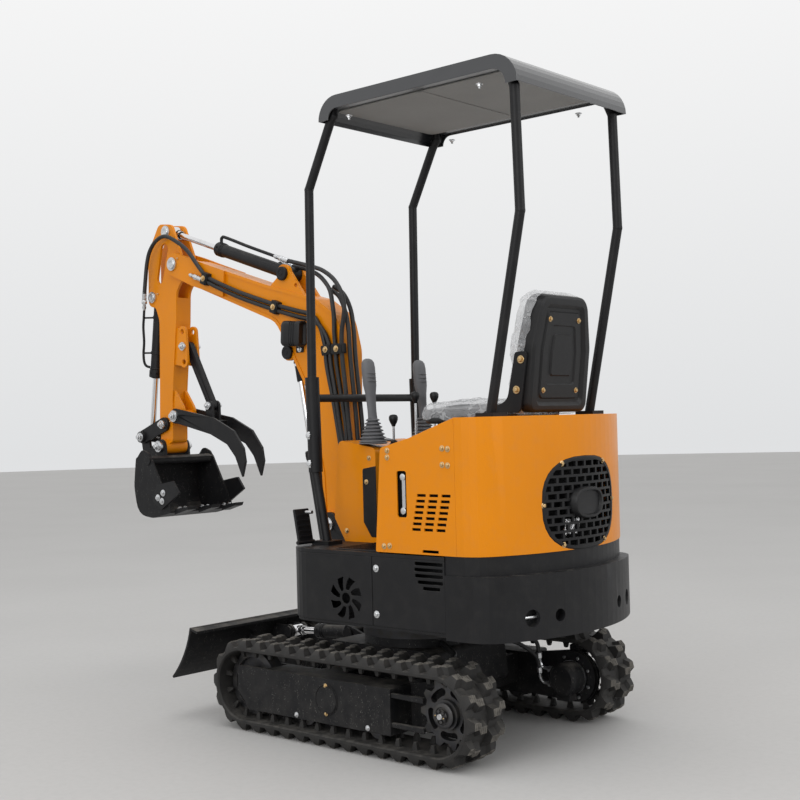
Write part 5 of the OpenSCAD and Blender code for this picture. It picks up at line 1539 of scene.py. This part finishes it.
class EXCAVATOR_OT_body_panels(bpy.types.Operator):
    """Adds the body's bolts, gauge bars, a dark sheet of painted shade behind the vents, pedal, deck mat and
    towing bars
    """

    bl_idname = "excavator.body_panels"
    bl_label = "Body panels"

    PANEL_BOLTS = (
        (-0.235, 0.984), (-0.234, 0.962), (-0.485, 0.988), (-0.463, 0.990), (-0.484, 0.937), (-0.462, 0.939),
        (-0.236, 0.678), (-0.212, 0.676))
    SKIRT_BOLTS = ((-0.174, 0.602), (-0.173, 0.453))
    SIGHT = (-0.292, 0.771, 0.919)
    # Outline of the dark sheet set behind the side panel's vents as painted shade
    BACKING = ((-0.500, 0.700), (-0.215, 0.700), (-0.245, 0.940), (-0.500, 0.940))
    # Turn from the rear in degrees, distance from the slew axis and height of a towing bar
    TOWING_BAR = (21.8, 0.716, 0.463)
    PEDAL_RIBS = 5
    MAT_RIBS = 17
    # Carries the side panel's top edge straight up to the hood's corner
    TOP_STRIP = ((-0.5088, 1.0590), (-0.3210, 1.0180), (-0.3180, 1.0208), (-0.5088, 1.0843))

    def sheet(self, shape, finish_name, outline, face, sign, depth, thick):
        """A plate set behind one of the body's sides."""
        shape.plate(finish_name, outline, *sorted((face - sign * depth, face - sign * (depth + thick))))

    def execute(self, context):
        shape = Shape()
        face_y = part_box("side_panel_left")[1].y
        for sign in (-1, 1):
            out = (0, sign, 0)
            face = sign * face_y
            for x, z in self.PANEL_BOLTS:
                shape.bolt("brass_bolt", (x, face, z), out, 0.0105)
            for x, z in self.SKIRT_BOLTS:
                shape.bolt("zinc_steel", (x, face, z), out, 0.013)
            x, z0, z1 = self.SIGHT
            glass = rounded_box((x - 0.007, z0 + 0.014), (x + 0.007, z1 - 0.014), 0.006, 4)
            self.sheet(shape, "zinc_steel", glass, face, sign, 0.009, 0.006)
            for z in (z0 + 0.020, z1 - 0.020):
                end = [(0, 0.011), (0.005, 0.011), (0.006, 0.009)]
                shape.turned("zinc_steel", end, (x, face - sign * 0.010, z), out, 16)
            # A dark sheet behind the vents as painted shade.
            self.sheet(shape, "deep_shadow", self.BACKING, face, sign, 0.016, 0.004)
            self.sheet(shape, "yellow_paint", self.TOP_STRIP, face, sign, 0.0002, 0.0046)
            degrees, far, high = self.TOWING_BAR
            turn = math.radians(180 + sign * degrees)
            spot = Vector((far * math.cos(turn), far * math.sin(turn), high))
            across = Vector((-math.sin(turn), math.cos(turn), 0))
            shape.turned("zinc_steel", [(-0.026, 0.0065), (0.026, 0.0065)], spot, across, 14)
        self.pedal(shape)
        shape.object("body_fittings", "upper", angle=30)
        self.mat().object("deck_mat", "upper", angle=30)
        return {"FINISHED"}

    def pedal(self, shape):
        """A foot pedal at the deck's front left corner."""
        pad = rounded([
            (0.214, 0.662, 0.003), (0.224, 0.660, 0.003), (0.246, 0.778, 0.004), (0.236, 0.780, 0.004)], 4)
        shape.plate("black_paint", pad, 0.315, 0.385)
        for i in range(self.PEDAL_RIBS):
            z = 0.685 + 0.018 * i
            x = 0.214 + (z - 0.662) * 0.186
            shape.block("black_plastic", (x - 0.003, 0.320, z - 0.003), (x + 0.004, 0.380, z + 0.003), 0.0008)
        shape.turned("zinc_steel", [(0, 0.006), (0.030, 0.006)], (0.214, 0.350, 0.768), (-1, 0, 0.05), 12)
        shape.turned("black_paint", [(-0.040, 0.007), (0.040, 0.007)], (0.219, 0.350, 0.664), (0, 1, 0), 12)

    def mat(self):
        """A ribbed rubber mat on the deck between seat and console."""
        shape = Shape()
        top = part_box("deck")[1].z
        edge = rounded_box((-0.168, -0.395), (0.036, 0.395), 0.015)
        shape.slab("black_plastic", edge, level, (top + 0.0002, top + 0.003, top + 0.004))
        for i in range(self.MAT_RIBS):
            x = -0.158 + 0.0115 * i
            low, high = (x - 0.002, -0.385, top + 0.003), (x + 0.002, 0.385, top + 0.0058)
            shape.block("black_plastic", low, high, 0.0006)
        return shape


class EXCAVATOR_OT_rear_grille(bpy.types.Operator):
    """Adds screws, the outlet and the dark parts behind the rear grille"""

    bl_idname = "excavator.rear_grille"
    bl_label = "Rear grille"

    CENTRE_Z = 0.803
    HALF = (0.205, 0.150)
    SIDES = 48
    # Rings of the outlet and of the rim: outwards from the grille, half width and half height
    OUTLET = (
        (-0.045, 0.078, 0.050), (0.016, 0.078, 0.050), (0.021, 0.075, 0.047), (0.021, 0.068, 0.040),
        (0.012, 0.064, 0.037), (0.010, 0.030, 0.020))
    RIM = ((0.0004, 0.192, 0.137), (0.0022, 0.193, 0.138), (0.0022, 0.201, 0.146), (0.0004, 0.203, 0.148))

    def on_tail(self, radius, y, z):
        return -math.sqrt(radius * radius - y * y), y, z

    def oval(self, grow, angle, size=None):
        w, h = size or self.HALF
        c, s = math.cos(angle), math.sin(angle)
        return ((w + grow) * math.copysign(abs(c) ** 0.75, c), (h + grow) * math.copysign(abs(s) ** 0.75, s))

    def execute(self, context):
        shape = Shape()
        radius = -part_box("rear_grille")[0].x
        for k in range(6):
            y, z = self.oval(-0.007, math.pi * k / 3)
            x, _, _ = self.on_tail(radius, y, 0)
            shape.bolt("brass_bolt", (x, y, self.CENTRE_Z + z), (x, y, 0), 0.010)
        turns = [2 * math.pi * k / self.SIDES for k in range(self.SIDES)]

        def ring(out, *size):
            outline = [self.oval(0, t, size) for t in turns]
            return [self.on_tail(radius + out, y, self.CENTRE_Z + z) for y, z in outline]

        shape.rings("black_plastic", [ring(*layer) for layer in self.OUTLET])
        shape.rings("black_paint", [ring(*layer) for layer in self.RIM], caps=False)
        for i in range(3):
            pipe = [
                (-0.662, 0.040 - 0.030 * i, 0.748), (-0.664, 0.045 - 0.032 * i, 0.728),
                (-0.660, 0.060 - 0.034 * i, 0.700)]
            shape.tube("chrome_rod", smooth_path(pipe, 6), 0.013 - 0.002 * i, 14)
        shape.object("grille_fittings", "upper", angle=35)
        return {"FINISHED"}


class EXCAVATOR_OT_canopy(bpy.types.Operator):
    """Lines the roof and adds the bolts of its rails and of the front posts' sleeves"""

    bl_idname = "excavator.canopy"
    bl_label = "Canopy"

    POST_Y = 0.283
    RAIL_BOLTS = (-0.542, 0.024)
    SLEEVE_BOLTS = ((0.2405, 1.035), (0.2395, 0.935))
    SLEEVE_R = 0.0248
    RAIL = 0.0325
    BOARD_HALF = 0.262
    JOINT = (-0.292, -0.268)

    def execute(self, context):
        roof_low, roof_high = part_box("canopy_roof")
        lining = roof_high.z - 0.040
        shape = Shape()
        half = self.BOARD_HALF
        board = rounded_box((roof_low.x + 0.045, -half), (roof_high.x - 0.035, half), 0.02)
        shape.slab("roof_lining", board, level, (lining - 0.0005, lining - 0.0035, lining - 0.0045))
        for sign in (-1, 1):
            for x in self.RAIL_BOLTS:
                under = Vector((x, sign * self.POST_Y, lining - self.RAIL))
                shape.bolt("zinc_steel", under, (0, 0, -1), 0.013)
                stud = [(0.0, 0.004), (0.014, 0.004), (0.015, 0.003)]
                shape.turned("zinc_steel", stud, under, (0, 0, -1), 12)
            for x, z in self.SLEEVE_BOLTS:
                away = Vector((-0.32, sign * 0.947, 0))
                at = Vector((x, sign * self.POST_Y, z)) + away * self.SLEEVE_R
                shape.bolt("zinc_steel", at, away, 0.015)
        rear, front = self.JOINT
        strip = [(rear, -half), (front, -half), (front, half), (rear, half)]
        shape.slab("roof_lining", strip, level, (lining - 0.004, lining - 0.0065, lining - 0.0075))
        shape.object("roof_lining", "upper", angle=30)
        return {"FINISHED"}


class EXCAVATOR_OT_bucket_fittings(bpy.types.Operator):
    """Adds the bolts of the bucket's side cutters and teeth"""

    bl_idname = "excavator.bucket_fittings"
    bl_label = "Bucket fittings"

    CUTTER_BOLTS = ((1.226, 0.772), (1.252, 0.786), (1.218, 0.806))

    def execute(self, context):
        shape = Shape()
        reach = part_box("bucket_teeth")[1].y
        for sign in (-1, 1):
            for x, z in self.CUTTER_BOLTS:
                shape.bolt("zinc_steel", (x, sign * reach, z), (0, sign, 0), 0.015)
        for y in (-0.120, 0.0, 0.120):
            for dy in (-0.014, 0.014):
                shape.bolt("zinc_steel", (1.170, y + dy, 0.7402), (-0.15, 0, 0.99), 0.012)
        shape.object("bucket_bolts", "bucket", angle=30)
        return {"FINISHED"}


class EXCAVATOR_OT_boom_details(bpy.types.Operator):
    """Puts grease nipples beside the pins of boom and arm"""

    bl_idname = "excavator.boom_details"
    bl_label = "Boom details"

    def nipple(self, shape, at, axis):
        profile = [
            (0, 0.0045), (0.003, 0.0045), (0.0035, 0.003), (0.007, 0.003), (0.008, 0.002), (0.010, 0.0022)]
        shape.turned("brass_bolt", profile, at, axis, 10)

    def execute(self, context):
        boom = Shape()
        for side in (-1, 1):
            self.nipple(boom, (ARM_PIN[0] - 0.036, side * 0.059, ARM_PIN[1] + 0.020), (0, side, 0))
        boom.object("boom_nipples", "boom", angle=30)
        arm = Shape()
        for side in (-1, 1):
            for (x, z), y in ((BUCKET_BASE_PIN, 0.040), (ROCKER_PIN, 0.040)):
                self.nipple(arm, (x - 0.036, side * y, z + 0.012), (0, side, 0))
        arm.object("arm_nipples", "arm", angle=30)
        return {"FINISHED"}


class EXCAVATOR_OT_stage(bpy.types.Operator):
    """Makes the floor, the light and the camera"""

    bl_idname = "excavator.stage"
    bl_label = "Stage"

    FLOOR_RADIUS = 30
    FLOOR_SIDES = 64

    def floor(self, colour):
        turns = [2 * math.pi * k / self.FLOOR_SIDES for k in range(self.FLOOR_SIDES)]
        points = [(self.FLOOR_RADIUS * math.cos(t), self.FLOOR_RADIUS * math.sin(t), 0) for t in turns]
        f = Finish("pale_floor", Specular_IOR_Level=0.25)
        tone = f.mix(f.grain(0.7, 5), darker(colour, 0.93), darker(colour, 1.05))
        f.feed("Base Color", f.mix(f.grain(40, 4).ramp(0.35, 0.75) * 0.25, tone, darker(colour, 0.85)))
        f.feed("Roughness", 0.72 + f.grain(12, 4) * 0.15)
        f.bump(f.grain(120, 4), 0.0006, 0.5)
        mesh = bpy.data.meshes.new("floor")
        mesh.from_pydata(points, [], [tuple(range(len(points)))])
        mesh.materials.append(f.material)
        piece = bpy.data.objects.new("floor", mesh)
        bpy.context.scene.collection.objects.link(piece)

    def sky(self, scene, strength):
        world = bpy.data.worlds.new("overcast")
        scene.world = world
        world.use_nodes = True
        tree = world.node_tree
        background = tree.nodes["Background"]
        background.inputs["Strength"].default_value = strength
        place = tree.nodes.new("ShaderNodeTexCoord")
        split = tree.nodes.new("ShaderNodeSeparateXYZ")
        ramp = tree.nodes.new("ShaderNodeMapRange")
        mix = tree.nodes.new("ShaderNodeMix")
        mix.data_type = "RGBA"
        mix.inputs[6].default_value = (0.80, 0.81, 0.82, 1)
        mix.inputs[7].default_value = (1.0, 1.0, 1.0, 1)
        ramp.inputs["From Min"].default_value = -0.02
        ramp.inputs["From Max"].default_value = 0.35
        tree.links.new(place.outputs["Generated"], split.inputs[0])
        tree.links.new(split.outputs["Z"], ramp.inputs["Value"])
        tree.links.new(ramp.outputs[0], mix.inputs[0])
        tree.links.new(mix.outputs[2], background.inputs["Color"])

    def light(self, name, at, target, size, power):
        lamp = bpy.data.lights.new(name, "AREA")
        lamp.shape = "RECTANGLE"
        lamp.size, lamp.size_y = size
        lamp.energy = power
        holder = bpy.data.objects.new(name, lamp)
        holder.location = at
        holder.rotation_euler = (Vector(target) - Vector(at)).to_track_quat("-Z", "Y").to_euler()
        bpy.context.scene.collection.objects.link(holder)

    def camera(self, scene, stage):
        ahead = Vector((
            math.cos(stage.pitch) * math.cos(stage.yaw), -math.cos(stage.pitch) * math.sin(stage.yaw),
            math.sin(stage.pitch)))
        right = Vector((-math.sin(stage.yaw), -math.cos(stage.yaw), 0))
        up = right.cross(ahead)
        c, s = math.cos(stage.roll), math.sin(stage.roll)
        right, up = c * right + s * up, c * up - s * right
        lens = bpy.data.cameras.new("photo_camera")
        lens.sensor_width = 36
        lens.lens = stage.focal
        lens.clip_end = 200
        holder = bpy.data.objects.new("photo_camera", lens)
        turn = Matrix((right, up, -ahead)).transposed().to_4x4()
        holder.matrix_world = Matrix.Translation(stage.camera_at) @ turn
        scene.collection.objects.link(holder)
        scene.camera = holder

    def execute(self, context):
        stage = context.scene.excavator_stage
        self.floor(stage.floor)
        self.sky(context.scene, stage.sky)
        self.light("overhead", (-1.0, 1.2, 6.5), (0.2, 0, 0.8), (6.0, 6.0), stage.key)
        self.light("left_fill", (-1.5, 6.0, 3.0), (0.2, 0, 0.9), (4.0, 3.0), stage.key * 0.75)
        self.light("rear_fill", (-6.0, -1.0, 3.0), (0.2, 0, 0.9), (3.0, 3.0), stage.key * 0.42)
        self.camera(context.scene, stage)
        context.scene.view_settings.view_transform = "Standard"
        return {"FINISHED"}


class EXCAVATOR_PT_panel(bpy.types.Panel):
    """Lists the excavator's pieces and settings"""

    bl_label = "Excavator"
    bl_idname = "EXCAVATOR_PT_panel"
    bl_space_type = "VIEW_3D"
    bl_region_type = "UI"
    bl_category = "Excavator"

    def draw(self, context):
        for group in SETTINGS:
            settings = getattr(context.scene, group)
            for name in settings.bl_rna.properties.keys():
                if name not in ("rna_type", "name"):
                    self.layout.prop(settings, name)
        for operator in OPERATORS:
            self.layout.operator(operator.bl_idname)


OPERATORS = (
    EXCAVATOR_OT_stage, EXCAVATOR_OT_finish_nodes, EXCAVATOR_OT_tracks, EXCAVATOR_OT_hoses,
    EXCAVATOR_OT_pin_ends, EXCAVATOR_OT_cylinders, EXCAVATOR_OT_undercarriage, EXCAVATOR_OT_body_panels,
    EXCAVATOR_OT_rear_grille, EXCAVATOR_OT_canopy, EXCAVATOR_OT_seat, EXCAVATOR_OT_controls, EXCAVATOR_OT_lamp,
    EXCAVATOR_OT_bucket_fittings, EXCAVATOR_OT_boom_details)
SETTINGS = {
    "excavator_paint": PaintSettings,
    "excavator_track": TrackSettings,
    "excavator_hose": HoseSettings,
    "excavator_seat": SeatSettings,
    "excavator_stage": StageSettings,
}
CLASSES = (*SETTINGS.values(), *OPERATORS, EXCAVATOR_PT_panel)


def register():
    for cls in CLASSES:
        bpy.utils.register_class(cls)
    for name, group in SETTINGS.items():
        setattr(bpy.types.Scene, name, PointerProperty(type=group))


def unregister():
    for name in SETTINGS:
        delattr(bpy.types.Scene, name)
    for cls in reversed(CLASSES):
        bpy.utils.unregister_class(cls)


def main():
    register()
    for operator in OPERATORS:
        group, name = operator.bl_idname.split(".")
        getattr(getattr(bpy.ops, group), name)()


if __name__ == "__main__":
    main()
